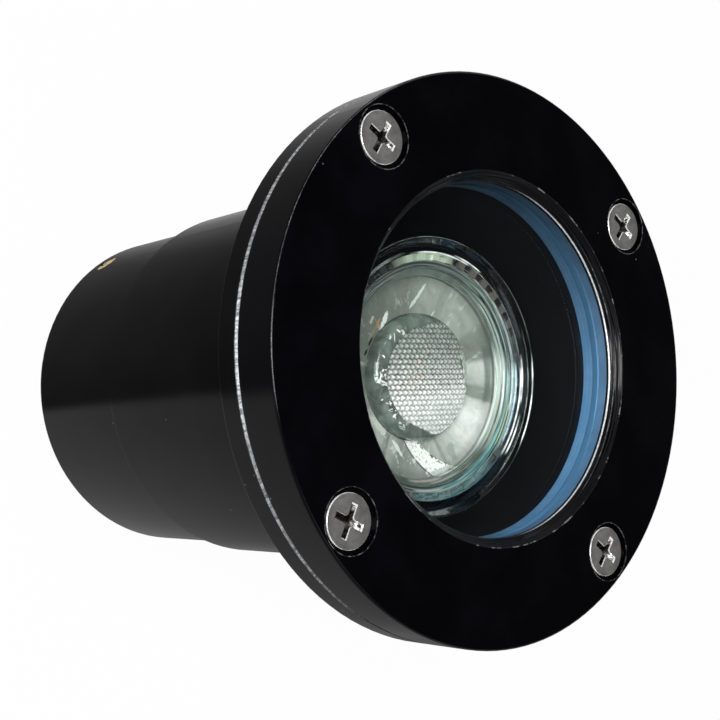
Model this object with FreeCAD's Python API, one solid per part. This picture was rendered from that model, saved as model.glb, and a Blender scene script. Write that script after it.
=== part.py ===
import FreeCAD, Part
import math
import os

# In-ground well light: a black flanged can that sits in the soil, with its glass face up.
# Millimetres. z = 0 is the flange's underside, where the light seats on the ground or on its sleeve.
# +Z points out of the face, and the light's axis is the Z axis. +X points at the first face screw,
# which is in line with the brass lock screw near the can's rear end.

# Face ring
FACE_DIAMETER = 100.0
RING_THICKNESS = 8.6
RING_EDGE_ROUND = 0.5
THROAT_DIAMETER = 62.3
OPENING_CHAMFER_WIDTH = 1.55
OPENING_CHAMFER_DEPTH = 1.95
LIP_WALL = 0.65

# Lens and its blue gasket, which wraps the glass's edge
LENS_OVERLAP = 1.85
LENS_THICKNESS = 3.0
LENS_BEVEL = 0.3
GASKET_SETBACK = 0.1
GASKET_FLAP = 2.0
GASKET_WALL = 1.75
GASKET_FOOT = 2.2

# Can: flange, stepped barrel and open rear end
FLANGE_THICKNESS = 5.3
FLANGE_TOP_CHAMFER = 0.45
FLANGE_REAR_ROUND = 0.4
SEAM_GAP = 0.3
BORE_STEP = 0.75
BARREL_WALL = 4.3
BARREL_STEP = 1.5
FRONT_BARREL_LENGTH = 58.9
REAR_BARREL_LENGTH = 33.4
STEP_EDGE_ROUND = 0.4
REAR_EDGE_ROUND = 1.5
REAR_WALL = 3.0
PLUG_SHOULDER = 1.2

# Face screws, M5 flat heads
SCREW_COUNT = 4
SCREW_EDGE_DISTANCE = 6.0
SCREW_DIAMETER = 5.0
SCREW_HEAD_DIAMETER = 9.0
SCREW_HEAD_RIM = 0.4
SCREW_HEAD_SINK = 0.5
SCREW_RECESS_MARGIN = 0.8
SCREW_TIP_SETBACK = 0.4
SCREW_TIP_CHAMFER = 0.5
SCREW_HOLE_PLAY = 0.3

# Rear plug with its O-ring and brass lock screw
PLUG_THICKNESS = 12.0
PLUG_SETBACK = 0.3
PLUG_FLOOR = 6.0
PLUG_RIM_WALL = 5.0
PLUG_EDGE_CHAMFER = 0.6
O_RING_SECTION = 1.9
O_RING_SQUEEZE = 0.05
O_RING_EDGE_DISTANCE = 2.6
O_RING_GROOVE_PLAY = 0.3
LOCK_SCREW_DIAMETER = 5.0
LOCK_SCREW_LENGTH = 4.6
LOCK_SCREW_RECESS = 0.2
LOCK_SCREW_REAR_DISTANCE = 5.7
LOCK_SCREW_SLOT_WIDTH = 0.9
LOCK_SCREW_SLOT_DEPTH = 1.0

# Lamp: a two-pin glass reflector lamp, about 50 mm across. It leans a little in its socket: its front
# is off to one side, towards the heading, which is in degrees round from +X.
LAMP_LEAN = 3.35
LAMP_LEAN_HEADING = 115.0
LAMP_DIAMETER = 51.2
LAMP_RIM_DEPTH = 2.65
LAMP_RIM_HEIGHT = 3.2
LAMP_RIM_WIDTH = 2.9
LAMP_RIM_LEDGE_WIDTH = 1.6
LAMP_RIM_LEDGE_DROP = 1.1
LAMP_RIM_CREST_INSET = 0.4
CUP_WALL = 1.7
CUP_HEIGHT = 34.0
CUP_BULGE = 3.4
NECK_DIAMETER = 20.0
NECK_LENGTH = 2.5

# Lamp front: a glass dish of steps and flat facets around a dome of beads
DISH_STEP_COUNT = 3
DISH_STEP_WIDTH = 1.3
DISH_STEP_DROP = 1.2
DISH_THICKNESS = 1.6
DISH_LEDGE = 0.8
DISH_NOTCH_COUNT = 42
DISH_NOTCH_WIDTH = 1.7
DISH_NOTCH_DEPTH = 0.6
DISH_NOTCH_WALL = 0.3
FACET_COUNT = 14
FACET_DROP = 1.4
BEAD_LENS_DIAMETER = 23.6
BEAD_LENS_PROUD = 1.2
BEAD_LENS_SHOULDER_WIDTH = 2.8
BEAD_LENS_SHOULDER_RISE = 1.9
SHOULDER_BULGE = (0.35, 0.65)
BEAD_LENS_DOME = 0.8
BEAD_LENS_RIM = 2.6
BEAD_LENS_HEIGHT = 8.5
BEAD_LENS_FOOT_DIAMETER = 11.0
CHIP_DIAMETER = 8.0
CHIP_THICKNESS = 0.6
CHIP_POCKET_PLAY = 0.3
BOARD_DIAMETER = 19.0
BOARD_THICKNESS = 1.6
SLUG_DIAMETER = 15.4
SLUG_WALL = 1.4
SLUG_TOP = 2.4

# Lamp base, driver and pins
BASE_PLUG_LENGTH = 2.5
BASE_LENGTH = 15.5
BASE_WIDTH = 10.0
BASE_HEIGHT = 7.0
BASE_ROUND = 2.5
DRIVER_DIAMETER = 11.0
DRIVER_BOARD_THICKNESS = 1.2
DRIVER_COIL_DIAMETER = 4.4
DRIVER_COIL_HEIGHT = 3.6
PIN_DIAMETER = 1.55
PIN_SPACING = 5.33
PIN_LENGTH = 7.2
PIN_ROOT = 2.0

# Lamp socket and its contacts
SOCKET_LENGTH = 21.0
SOCKET_WIDTH = 12.0
SOCKET_HEIGHT = 12.0
SOCKET_PIN_HOLE_DIAMETER = 2.6
SOCKET_CAVITY_DIAMETER = 3.4
SOCKET_TOP_WALL = 1.4
CONTACT_WALL = 0.5
CONTACT_LENGTH = 8.0
CONTACT_SLIT = 0.6

# Steel strap that carries the socket
STRAP_THICKNESS = 1.2
STRAP_WIDTH = 12.0
STRAP_TOP_LENGTH = 25.0
STRAP_LEG_SPREAD = 4.0
STRAP_FOOT_LENGTH = 7.4
STRAP_LEAD_HOLE_DIAMETER = 4.4
SOCKET_SCREW_DIAMETER = 2.5
SOCKET_SCREW_SPACING = 15.4
SOCKET_SCREW_LENGTH = 6.0
SOCKET_SCREW_HEAD_DIAMETER = 4.6
SOCKET_SCREW_HEAD_HEIGHT = 1.8
STRAP_SCREW_DIAMETER = 4.0
STRAP_SCREW_LENGTH = 5.5
STRAP_SCREW_HEAD_DIAMETER = 6.6
STRAP_SCREW_HEAD_HEIGHT = 2.4

# Leads inside the can, and the crimp splices that take the supply cable's cores
LEAD_DIAMETER = 1.8
LEAD_LENGTH = 12.0
LEAD_SPREAD = 1.6
SPLICE_DIAMETER = 4.2
SPLICE_BORE_DIAMETER = 2.6
SPLICE_LENGTH = 10.0
SPLICE_OVERLAP = 3.0

# Cable gland
GLAND_THREAD_DIAMETER = 12.0
GLAND_BORE_DIAMETER = 8.2
GLAND_HEX_WIDTH = 16.0
GLAND_HEX_HEIGHT = 4.5
GLAND_WASHER_DIAMETER = 17.0
GLAND_WASHER_THICKNESS = 1.5
GLAND_SPIGOT_EXTRA = 4.4
LOCKNUT_WIDTH = 16.0
LOCKNUT_HEIGHT = 3.6
GLAND_SLEEVE_LENGTH = 8.5
GLAND_CLAW_COUNT = 8
GLAND_CLAW_SLIT = 0.8
GLAND_CLAW_LENGTH = 4.5
SEAL_DIAMETER = 10.1
SEAL_LENGTH = 9.0
CABLE_HOLE_DIAMETER = 6.6
NUT_LENGTH = 13.5
NUT_HEX_LENGTH = 8.0
NUT_END_WALL = 2.0

# Clearances
FIT = 0.05
SLIDE_FIT = 0.1
SEAT_GAP = 0.3
LEAN_GAP = 0.6
LEAN_PLAY = 0.15
CUT_PAST = 1.0

ORIGIN = FreeCAD.Vector(0, 0, 0)
UP = FreeCAD.Vector(0, 0, 1)

# Places that follow from the sizes above
face_radius = FACE_DIAMETER / 2
ring_bottom = FLANGE_THICKNESS + SEAM_GAP
face_z = ring_bottom + RING_THICKNESS
throat_radius = THROAT_DIAMETER / 2
lip_bottom = face_z - OPENING_CHAMFER_DEPTH - LIP_WALL
lens_top = lip_bottom - GASKET_FLAP
lens_bottom = lens_top - LENS_THICKNESS
gasket_bottom = lens_bottom - GASKET_FOOT
lens_radius = throat_radius + LENS_OVERLAP
gasket_inner_radius = throat_radius + GASKET_SETBACK
gasket_outer_radius = lens_radius + FIT + GASKET_WALL
gasket_seat_radius = gasket_outer_radius + SLIDE_FIT
shelf_z = gasket_bottom - SLIDE_FIT

front_bore_radius = throat_radius + BORE_STEP
front_barrel_radius = front_bore_radius + BARREL_WALL
rear_barrel_radius = front_barrel_radius - BARREL_STEP
plug_bore_radius = rear_barrel_radius - REAR_WALL
rear_bore_radius = plug_bore_radius - PLUG_SHOULDER
step_z = -FRONT_BARREL_LENGTH
rear_z = step_z - REAR_BARREL_LENGTH
plug_bottom = rear_z + PLUG_SETBACK
plug_top = plug_bottom + PLUG_THICKNESS
plug_floor_z = plug_bottom + PLUG_FLOOR
plug_radius = plug_bore_radius - SLIDE_FIT
bore_step_top = step_z + BARREL_STEP

screw_circle_radius = face_radius - SCREW_EDGE_DISTANCE
screw_radius = SCREW_DIAMETER / 2 - FIT
screw_head_radius = SCREW_HEAD_DIAMETER / 2
screw_head_z = face_z - SCREW_HEAD_SINK
screw_recess_z = screw_head_z - SCREW_HEAD_RIM
screw_hole_radius = SCREW_DIAMETER / 2 + SCREW_HOLE_PLAY
lock_screw_z = rear_z + LOCK_SCREW_REAR_DISTANCE

lamp_radius = LAMP_DIAMETER / 2
rim_z = -LAMP_RIM_DEPTH
rim_bottom = rim_z - LAMP_RIM_HEIGHT
rim_inner_radius = lamp_radius - LAMP_RIM_WIDTH
neck_radius = NECK_DIAMETER / 2
cup_bottom = rim_z - CUP_HEIGHT
neck_top = cup_bottom + NECK_LENGTH
dish_radius = rim_inner_radius - FIT
dish_top = rim_z - LAMP_RIM_LEDGE_DROP
facet_outer_radius = dish_radius - DISH_STEP_COUNT * DISH_STEP_WIDTH
facet_top = dish_top - DISH_STEP_COUNT * DISH_STEP_DROP
facet_bottom = facet_top - FACET_DROP
bead_lens_radius = BEAD_LENS_DIAMETER / 2
chip_z = facet_bottom - BEAD_LENS_HEIGHT
board_bottom = chip_z - CHIP_THICKNESS - BOARD_THICKNESS
slug_radius = SLUG_DIAMETER / 2
base_top = cup_bottom + BASE_PLUG_LENGTH
base_bottom = cup_bottom - BASE_HEIGHT

socket_top = base_bottom - LEAN_GAP
socket_bottom = socket_top - SOCKET_HEIGHT
contact_inner_radius = PIN_DIAMETER / 2 + FIT
contact_outer_radius = contact_inner_radius + CONTACT_WALL
contact_top = socket_top - SOCKET_TOP_WALL
lean_z = contact_top - CONTACT_LENGTH / 2
strap_top = socket_bottom
strap_foot_x = STRAP_TOP_LENGTH / 2 + STRAP_LEG_SPREAD + STRAP_FOOT_LENGTH
strap_screw_x = strap_foot_x - STRAP_FOOT_LENGTH / 2
lead_top = contact_top - CONTACT_LENGTH
lead_bottom = lead_top - LEAD_LENGTH
splice_x = PIN_SPACING / 2 + LEAD_SPREAD

gland_radius = GLAND_THREAD_DIAMETER / 2 - FIT
gland_hex_top = plug_bottom - GLAND_WASHER_THICKNESS
gland_hex_bottom = gland_hex_top - GLAND_HEX_HEIGHT
sleeve_bottom = gland_hex_bottom - GLAND_SLEEVE_LENGTH
spigot_top = plug_floor_z + GLAND_SPIGOT_EXTRA
nut_top = gland_hex_bottom - SEAT_GAP
nut_bottom = nut_top - NUT_LENGTH
seal_bottom = nut_bottom + NUT_END_WALL + SEAT_GAP


def at(corner):
    """The point of the XZ plane at (radius, height)."""
    return FreeCAD.Vector(corner[0], 0, corner[1])


def outline(start, *moves):
    """A face in the XZ plane. A move is the next corner, or a (middle, end) pair for an arc."""
    edges = []
    here = start
    for move in moves + (start,):
        end = move
        if isinstance(move[0], tuple):
            middle, end = move
            edges.append(Part.Arc(at(here), at(middle), at(end)).toShape())
        else:
            edges.append(Part.LineSegment(at(here), at(end)).toShape())
        here = end
    return Part.Face(Part.Wire(edges))


def turned(start, *moves):
    """The solid that the outline makes when it is turned about the Z axis."""
    return outline(start, *moves).revolve(ORIGIN, UP, 360)


def rod(radius, bottom, top, x=0, y=0):
    return Part.makeCylinder(radius, top - bottom, FreeCAD.Vector(x, y, bottom))


def through_hole(radius, bottom, top, x=0, y=0):
    """Cutting tool that runs past both faces of what it cuts."""
    return rod(radius, bottom - CUT_PAST, top + CUT_PAST, x, y)


def tube(outer_radius, inner_radius, bottom, top, x=0, y=0):
    return rod(outer_radius, bottom, top, x, y).cut(through_hole(inner_radius, bottom, top, x, y))


def polygon(count, inscribed_radius, z):
    """A regular polygon at height z, as a wire, with its sides at the inscribed radius."""
    corner_radius = inscribed_radius / math.cos(math.pi / count)
    corners = []
    for i in range(count + 1):
        angle = (2 * i + 1) * math.pi / count
        corner = FreeCAD.Vector(math.cos(angle), math.sin(angle), 0) * corner_radius
        corners.append(corner + UP * z)
    return Part.makePolygon(corners)


def hexagon(width, bottom, top):
    """A hexagonal prism, width across its flats."""
    return Part.Face(polygon(6, width / 2, bottom)).extrude(UP * (top - bottom))


def block(length, width, bottom, top, corner_round):
    """A box centred on the axis, with its upright edges rounded."""
    corner = FreeCAD.Vector(-length / 2, -width / 2, bottom)
    box = Part.makeBox(length, width, top - bottom, corner)
    upright = [e for e in box.Edges if abs(e.tangentAt(0).z) > 0.5]
    return box.makeFillet(corner_round, upright)


def around(shape, count, first_angle=0):
    """Copies of a shape, spread evenly about the Z axis."""
    copies = []
    for i in range(count):
        copy = shape.copy()
        copy.rotate(ORIGIN, UP, first_angle + i * 360 / count)
        copies.append(copy)
    return copies


def face_ring():
    """Thick ring with a chamfered opening, a lip over the glass and four screw recesses."""
    edge = RING_EDGE_ROUND
    arc_inset = edge * (1 - math.sqrt(0.5))
    ring = turned(
        (gasket_seat_radius, ring_bottom),
        (face_radius, ring_bottom),
        (face_radius, face_z - edge),
        ((face_radius - arc_inset, face_z - arc_inset), (face_radius - edge, face_z)),
        (throat_radius + OPENING_CHAMFER_WIDTH, face_z),
        (throat_radius, lip_bottom + LIP_WALL),
        (throat_radius, lip_bottom),
        (gasket_seat_radius, lip_bottom),
    )
    for tool in around(screw_recess(), SCREW_COUNT):
        ring = ring.cut(tool)
    return ring


def screw_recess():
    """Cutting tool for one face screw: a flat-bottomed recess, the head's cone and the through hole."""
    seat_radius = screw_head_radius + SLIDE_FIT
    recess_radius = screw_head_radius + SCREW_RECESS_MARGIN
    cone_bottom = screw_recess_z - (seat_radius - screw_hole_radius)
    tool = turned(
        (0, ring_bottom - CUT_PAST),
        (screw_hole_radius, ring_bottom - CUT_PAST),
        (screw_hole_radius, cone_bottom),
        (seat_radius, screw_recess_z),
        (recess_radius, screw_recess_z),
        (recess_radius, face_z + CUT_PAST),
        (0, face_z + CUT_PAST),
    )
    tool.translate(FreeCAD.Vector(screw_circle_radius, 0, 0))
    return tool


def face_screws():
    """Four flat-head screws, each down through the ring into the can's flange."""
    tip_z = SCREW_TIP_SETBACK
    cone_bottom = screw_recess_z - (screw_head_radius - screw_radius)
    screw = turned(
        (0, tip_z),
        (screw_radius - SCREW_TIP_CHAMFER, tip_z),
        (screw_radius, tip_z + SCREW_TIP_CHAMFER),
        (screw_radius, cone_bottom),
        (screw_head_radius, screw_recess_z),
        (screw_head_radius, screw_head_z),
        (0, screw_head_z),
    )
    screw.translate(FreeCAD.Vector(screw_circle_radius, 0, 0))
    return Part.makeCompound(around(screw, SCREW_COUNT))


def lens():
    """Flat round glass with a small bevel round both edges."""
    return turned(
        (0, lens_bottom),
        (lens_radius - LENS_BEVEL, lens_bottom),
        (lens_radius, lens_bottom + LENS_BEVEL),
        (lens_radius, lens_top - LENS_BEVEL),
        (lens_radius - LENS_BEVEL, lens_top),
        (0, lens_top),
    )


def lens_gasket():
    """Silicone channel round the glass's edge: a thin flap over it and a thick foot below it."""
    glass_radius = lens_radius + FIT
    return turned(
        (gasket_inner_radius, gasket_bottom),
        (gasket_outer_radius, gasket_bottom),
        (gasket_outer_radius, lip_bottom),
        (gasket_inner_radius, lip_bottom),
        (gasket_inner_radius, lens_top),
        (glass_radius, lens_top),
        (glass_radius, lens_bottom),
        (gasket_inner_radius, lens_bottom),
    )


def housing():
    """Flanged can: stepped barrel, gasket shelf, tapped flange, plug seat and lock screw hole."""
    flange_arc = FLANGE_REAR_ROUND * (1 - math.sqrt(0.5))
    step_arc = STEP_EDGE_ROUND * (1 - math.sqrt(0.5))
    rear_arc = REAR_EDGE_ROUND * (1 - math.sqrt(0.5))
    step_edge_radius = front_barrel_radius - STEP_EDGE_ROUND
    rear_edge_radius = rear_barrel_radius - REAR_EDGE_ROUND
    can = turned(
        (front_bore_radius, shelf_z),
        (gasket_seat_radius, shelf_z),
        (gasket_seat_radius, FLANGE_THICKNESS),
        (face_radius - FLANGE_TOP_CHAMFER, FLANGE_THICKNESS),
        (face_radius, FLANGE_THICKNESS - FLANGE_TOP_CHAMFER),
        (face_radius, FLANGE_REAR_ROUND),
        ((face_radius - flange_arc, flange_arc), (face_radius - FLANGE_REAR_ROUND, 0)),
        (front_barrel_radius, 0),
        (front_barrel_radius, step_z + STEP_EDGE_ROUND),
        ((front_barrel_radius - step_arc, step_z + step_arc), (step_edge_radius, step_z)),
        (rear_barrel_radius, step_z),
        (rear_barrel_radius, rear_z + REAR_EDGE_ROUND),
        ((rear_barrel_radius - rear_arc, rear_z + rear_arc), (rear_edge_radius, rear_z)),
        (plug_bore_radius, rear_z),
        (plug_bore_radius, plug_top),
        (rear_bore_radius, plug_top),
        (rear_bore_radius, bore_step_top),
        (front_bore_radius, bore_step_top + (front_bore_radius - rear_bore_radius)),
    )
    tapped_hole = through_hole(SCREW_DIAMETER / 2, 0, FLANGE_THICKNESS, screw_circle_radius)
    for tool in around(tapped_hole, SCREW_COUNT):
        can = can.cut(tool)
    return can.cut(lock_screw_hole())


def lock_screw_hole():
    """Radial hole through the can's rear wall into the plug."""
    depth_radius = rear_barrel_radius - LOCK_SCREW_RECESS - LOCK_SCREW_LENGTH - SEAT_GAP
    start = FreeCAD.Vector(depth_radius, 0, lock_screw_z)
    length = rear_barrel_radius + CUT_PAST - depth_radius
    return Part.makeCylinder(LOCK_SCREW_DIAMETER / 2, length, start, FreeCAD.Vector(1, 0, 0))


def lock_screw():
    """Slotted brass grub screw that holds the plug."""
    outer_x = rear_barrel_radius - LOCK_SCREW_RECESS
    start = FreeCAD.Vector(outer_x - LOCK_SCREW_LENGTH, 0, lock_screw_z)
    radius = LOCK_SCREW_DIAMETER / 2 - FIT
    screw = Part.makeCylinder(radius, LOCK_SCREW_LENGTH, start, FreeCAD.Vector(1, 0, 0))
    floor_x = outer_x - LOCK_SCREW_SLOT_DEPTH
    slot_bottom = lock_screw_z - radius - CUT_PAST
    corner = FreeCAD.Vector(floor_x, -LOCK_SCREW_SLOT_WIDTH / 2, slot_bottom)
    slot_height = 2 * (radius + CUT_PAST)
    slot = Part.makeBox(LOCK_SCREW_SLOT_DEPTH + CUT_PAST, LOCK_SCREW_SLOT_WIDTH, slot_height, corner)
    return screw.cut(slot)


def end_plug():
    """Turned plug that closes the can: a cup that opens inwards, with an O-ring groove in its rim."""
    pocket_radius = plug_radius - PLUG_RIM_WALL
    groove_bottom = plug_top - O_RING_EDGE_DISTANCE - O_RING_SECTION / 2 - O_RING_GROOVE_PLAY
    groove_top = groove_bottom + O_RING_SECTION + 2 * O_RING_GROOVE_PLAY
    groove_radius = plug_bore_radius - O_RING_SECTION - FIT
    plug = turned(
        (GLAND_THREAD_DIAMETER / 2, plug_bottom),
        (plug_radius - PLUG_EDGE_CHAMFER, plug_bottom),
        (plug_radius, plug_bottom + PLUG_EDGE_CHAMFER),
        (plug_radius, groove_bottom),
        (groove_radius, groove_bottom),
        (groove_radius, groove_top),
        (plug_radius, groove_top),
        (plug_radius, plug_top - SEAT_GAP),
        (pocket_radius, plug_top - SEAT_GAP),
        (pocket_radius, plug_floor_z),
        (GLAND_THREAD_DIAMETER / 2, plug_floor_z),
    )
    hole_bottom = plug_floor_z - (STRAP_SCREW_LENGTH - STRAP_THICKNESS) - SEAT_GAP
    hole_radius = STRAP_SCREW_DIAMETER / 2
    tapped_hole = rod(hole_radius, hole_bottom, plug_floor_z + CUT_PAST, strap_screw_x)
    for tool in around(tapped_hole, 2):
        plug = plug.cut(tool)
    return plug.cut(lock_screw_hole())


def plug_o_ring():
    """O-ring between the plug and the can."""
    section_radius = O_RING_SECTION / 2
    ring_radius = plug_bore_radius - section_radius - O_RING_SQUEEZE / 2
    centre = FreeCAD.Vector(0, 0, plug_top - O_RING_EDGE_DISTANCE)
    return Part.makeTorus(ring_radius, section_radius, centre, UP)


def cup_profile(inset):
    """The cup's curved side, moved in by inset: its upper end, its middle and its lower end."""
    top = (lamp_radius - CUP_WALL - inset, rim_bottom)
    end = (neck_radius - inset, neck_top)
    middle = ((top[0] + end[0]) / 2 + CUP_BULGE, (top[1] + end[1]) / 2 - CUP_BULGE)
    return top, middle, end


def lamp_cup():
    """Glass reflector cup: a thick rim, a curved side and a neck for the base."""
    outer_top, outer_middle, outer_end = cup_profile(0)
    inner_top, inner_middle, inner_end = cup_profile(CUP_WALL)
    return turned(
        (rim_inner_radius, dish_top),
        (rim_inner_radius + LAMP_RIM_LEDGE_WIDTH, dish_top),
        (lamp_radius - LAMP_RIM_CREST_INSET, rim_z),
        (lamp_radius, rim_z - LAMP_RIM_CREST_INSET),
        (lamp_radius, rim_bottom),
        outer_top,
        (outer_middle, outer_end),
        (neck_radius, cup_bottom),
        (neck_radius - CUP_WALL, cup_bottom),
        inner_end,
        (inner_middle, inner_top),
        (rim_inner_radius, rim_bottom),
    )


def lamp_dish():
    """The lamp's front: a notched step, plain steps, then a ring of flat facets round the bead lens."""
    hole_radius = bead_lens_radius + FIT
    corners = [(dish_radius, rim_bottom), (dish_radius, dish_top)]
    for i in range(DISH_STEP_COUNT):
        tread_radius = dish_radius - (i + 1) * DISH_STEP_WIDTH
        tread_z = dish_top - i * DISH_STEP_DROP
        corners += [(tread_radius, tread_z), (tread_radius, tread_z - DISH_STEP_DROP)]
    corners += [
        (hole_radius, facet_top),
        (hole_radius, facet_bottom - DISH_THICKNESS),
        (hole_radius + DISH_THICKNESS, facet_bottom - DISH_THICKNESS),
        (facet_outer_radius + DISH_THICKNESS / 2, facet_top - DISH_THICKNESS),
        (dish_radius - DISH_LEDGE, rim_bottom),
    ]
    dish = turned(*corners)
    corner_share = math.cos(math.pi / FACET_COUNT)
    wide = polygon(FACET_COUNT, facet_outer_radius * corner_share - FIT, facet_top)
    narrow = polygon(FACET_COUNT, hole_radius, facet_bottom)
    dish = dish.cut(Part.makeLoft([wide, narrow], True, True))
    inner_radius = dish_radius - DISH_STEP_WIDTH
    length = DISH_STEP_WIDTH - DISH_NOTCH_WALL + CUT_PAST
    corner = FreeCAD.Vector(inner_radius - CUT_PAST, -DISH_NOTCH_WIDTH / 2, dish_top - DISH_NOTCH_DEPTH)
    notch = Part.makeBox(length, DISH_NOTCH_WIDTH, DISH_NOTCH_DEPTH + CUT_PAST, corner)
    return dish.cut(Part.makeCompound(around(notch, DISH_NOTCH_COUNT)))


def bead_lens():
    """Collimator that stands on the board over the chip, with a rounded shoulder and a domed top."""
    foot_radius = BEAD_LENS_FOOT_DIAMETER / 2
    rim_top = facet_bottom + BEAD_LENS_PROUD
    rim_low = rim_top - BEAD_LENS_RIM
    face_edge_radius = bead_lens_radius - BEAD_LENS_SHOULDER_WIDTH
    face_edge_z = rim_top + BEAD_LENS_SHOULDER_RISE
    shoulder = (
        bead_lens_radius - BEAD_LENS_SHOULDER_WIDTH * SHOULDER_BULGE[0],
        rim_top + BEAD_LENS_SHOULDER_RISE * SHOULDER_BULGE[1],
    )
    dome_radius = (face_edge_radius ** 2 + BEAD_LENS_DOME ** 2) / (2 * BEAD_LENS_DOME)
    half_way = face_edge_radius / 2
    dome_drop = dome_radius - math.sqrt(dome_radius ** 2 - half_way ** 2)
    top = face_edge_z + BEAD_LENS_DOME
    pocket_radius = CHIP_DIAMETER / 2 + CHIP_POCKET_PLAY
    pocket_top = chip_z + CHIP_POCKET_PLAY
    board_top = chip_z - CHIP_THICKNESS
    return turned(
        (pocket_radius, board_top),
        (foot_radius, board_top),
        (bead_lens_radius, rim_low),
        (bead_lens_radius, rim_top),
        (shoulder, (face_edge_radius, face_edge_z)),
        ((half_way, top - dome_drop), (0, top)),
        (0, pocket_top),
        (pocket_radius, pocket_top),
    )


def led_chip():
    return rod(CHIP_DIAMETER / 2, chip_z - CHIP_THICKNESS, chip_z)


def lamp_board():
    return rod(BOARD_DIAMETER / 2, board_bottom, board_bottom + BOARD_THICKNESS)


def heat_slug():
    """Metal cup, open downwards, that carries the board and takes its heat to the base."""
    slug = rod(slug_radius, base_top, board_bottom)
    hollow = rod(slug_radius - SLUG_WALL, base_top, board_bottom - SLUG_TOP)
    return slug.cut(hollow)


def lamp_driver():
    """Round driver board with its coil and capacitor, on the lamp's base inside the slug."""
    board_top = base_top + DRIVER_BOARD_THICKNESS
    coil_radius = DRIVER_COIL_DIAMETER / 2
    coil_top = board_top + DRIVER_COIL_HEIGHT
    driver = rod(DRIVER_DIAMETER / 2, base_top, board_top)
    for x in (-coil_radius, coil_radius):
        driver = driver.fuse(rod(coil_radius - FIT, board_top, coil_top, x))
    return driver


def lamp_base():
    """Moulded base: a plug in the cup's neck over a block that carries the pins."""
    neck_plug = rod(neck_radius - CUP_WALL - FIT, cup_bottom, base_top)
    base = neck_plug.fuse(block(BASE_LENGTH, BASE_WIDTH, base_bottom, cup_bottom, BASE_ROUND))
    for x in pin_places():
        base = base.cut(rod(PIN_DIAMETER / 2, base_bottom - CUT_PAST, base_bottom + PIN_ROOT, x))
    return base


def pin_places():
    return (-PIN_SPACING / 2, PIN_SPACING / 2)


def lamp_pins():
    """Two round pins with domed tips."""
    radius = PIN_DIAMETER / 2
    tip_z = base_bottom - PIN_LENGTH
    pins = []
    for x in pin_places():
        shank = rod(radius, tip_z + radius, base_bottom + PIN_ROOT, x)
        tip = Part.makeSphere(radius, FreeCAD.Vector(x, 0, tip_z + radius))
        pins.append(shank.fuse(tip).removeSplitter())
    return Part.makeCompound(pins)


def socket_body():
    """Ceramic lamp socket: two pin holes over two contact cavities, and two screw holes below."""
    body = block(SOCKET_LENGTH, SOCKET_WIDTH, socket_bottom, socket_top, SOCKET_WIDTH / 2 - FIT)
    for x in pin_places():
        body = body.cut(through_hole(SOCKET_PIN_HOLE_DIAMETER / 2, socket_bottom, socket_top, x))
        body = body.cut(rod(SOCKET_CAVITY_DIAMETER / 2, socket_bottom - CUT_PAST, contact_top, x))
    screw_top = strap_top + SOCKET_SCREW_LENGTH - STRAP_THICKNESS + SEAT_GAP
    for x in socket_screw_places():
        body = body.cut(rod(SOCKET_SCREW_DIAMETER / 2, socket_bottom - CUT_PAST, screw_top, x))
    return body


def socket_screw_places():
    return (-SOCKET_SCREW_SPACING / 2, SOCKET_SCREW_SPACING / 2)


def socket_contacts():
    """Two split spring sleeves that lean with the lamp's pins. Their slits face outwards."""
    bottom, top = lead_top + LEAN_PLAY, contact_top - LEAN_PLAY
    sleeve = tube(contact_outer_radius, contact_inner_radius, bottom, top)
    slit_bottom = lead_top + LEAD_DIAMETER
    corner = FreeCAD.Vector(0, -CONTACT_SLIT / 2, slit_bottom)
    slit = Part.makeBox(contact_outer_radius + CUT_PAST, CONTACT_SLIT, CONTACT_LENGTH, corner)
    contact = sleeve.cut(slit)
    contact.translate(FreeCAD.Vector(PIN_SPACING / 2, 0, 0))
    return Part.makeCompound(around(contact, 2))


def socket_strap():
    """Bent steel strap: a table for the socket, two splayed legs and two feet on the plug."""
    thick = STRAP_THICKNESS
    top_x = STRAP_TOP_LENGTH / 2
    leg_x = top_x + STRAP_LEG_SPREAD
    leg_drop = strap_top - thick - plug_floor_z
    leg_length = math.hypot(STRAP_LEG_SPREAD, leg_drop)
    under = thick * (leg_length - STRAP_LEG_SPREAD) / leg_drop
    profile = outline(
        (-strap_foot_x, plug_floor_z),
        (-leg_x + under, plug_floor_z),
        (-top_x + under, strap_top - thick),
        (top_x - under, strap_top - thick),
        (leg_x - under, plug_floor_z),
        (strap_foot_x, plug_floor_z),
        (strap_foot_x, plug_floor_z + thick),
        (leg_x, plug_floor_z + thick),
        (top_x, strap_top),
        (-top_x, strap_top),
        (-leg_x, plug_floor_z + thick),
        (-strap_foot_x, plug_floor_z + thick),
    )
    profile.translate(FreeCAD.Vector(0, -STRAP_WIDTH / 2, 0))
    strap = profile.extrude(FreeCAD.Vector(0, STRAP_WIDTH, 0))
    for x in pin_places():
        strap = strap.cut(through_hole(STRAP_LEAD_HOLE_DIAMETER / 2, strap_top - thick, strap_top, x))
    for x in socket_screw_places():
        strap = strap.cut(through_hole(SOCKET_SCREW_DIAMETER / 2, strap_top - thick, strap_top, x))
    foot_top = plug_floor_z + thick
    foot_hole = through_hole(STRAP_SCREW_DIAMETER / 2, plug_floor_z, foot_top, strap_screw_x)
    for tool in around(foot_hole, 2):
        strap = strap.cut(tool)
    return strap


def pan_screw(diameter, length, head_diameter, head_height):
    """Pan-head screw, head down, with the head's flat at z = 0 and the shank up along +Z."""
    radius = diameter / 2 - FIT
    head_radius = head_diameter / 2
    corner = head_radius - head_height / 2
    return turned(
        (0, -head_height),
        (corner, -head_height),
        (head_radius, -head_height / 2),
        (head_radius, 0),
        (radius, 0),
        (radius, length),
        (0, length),
    )


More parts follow.
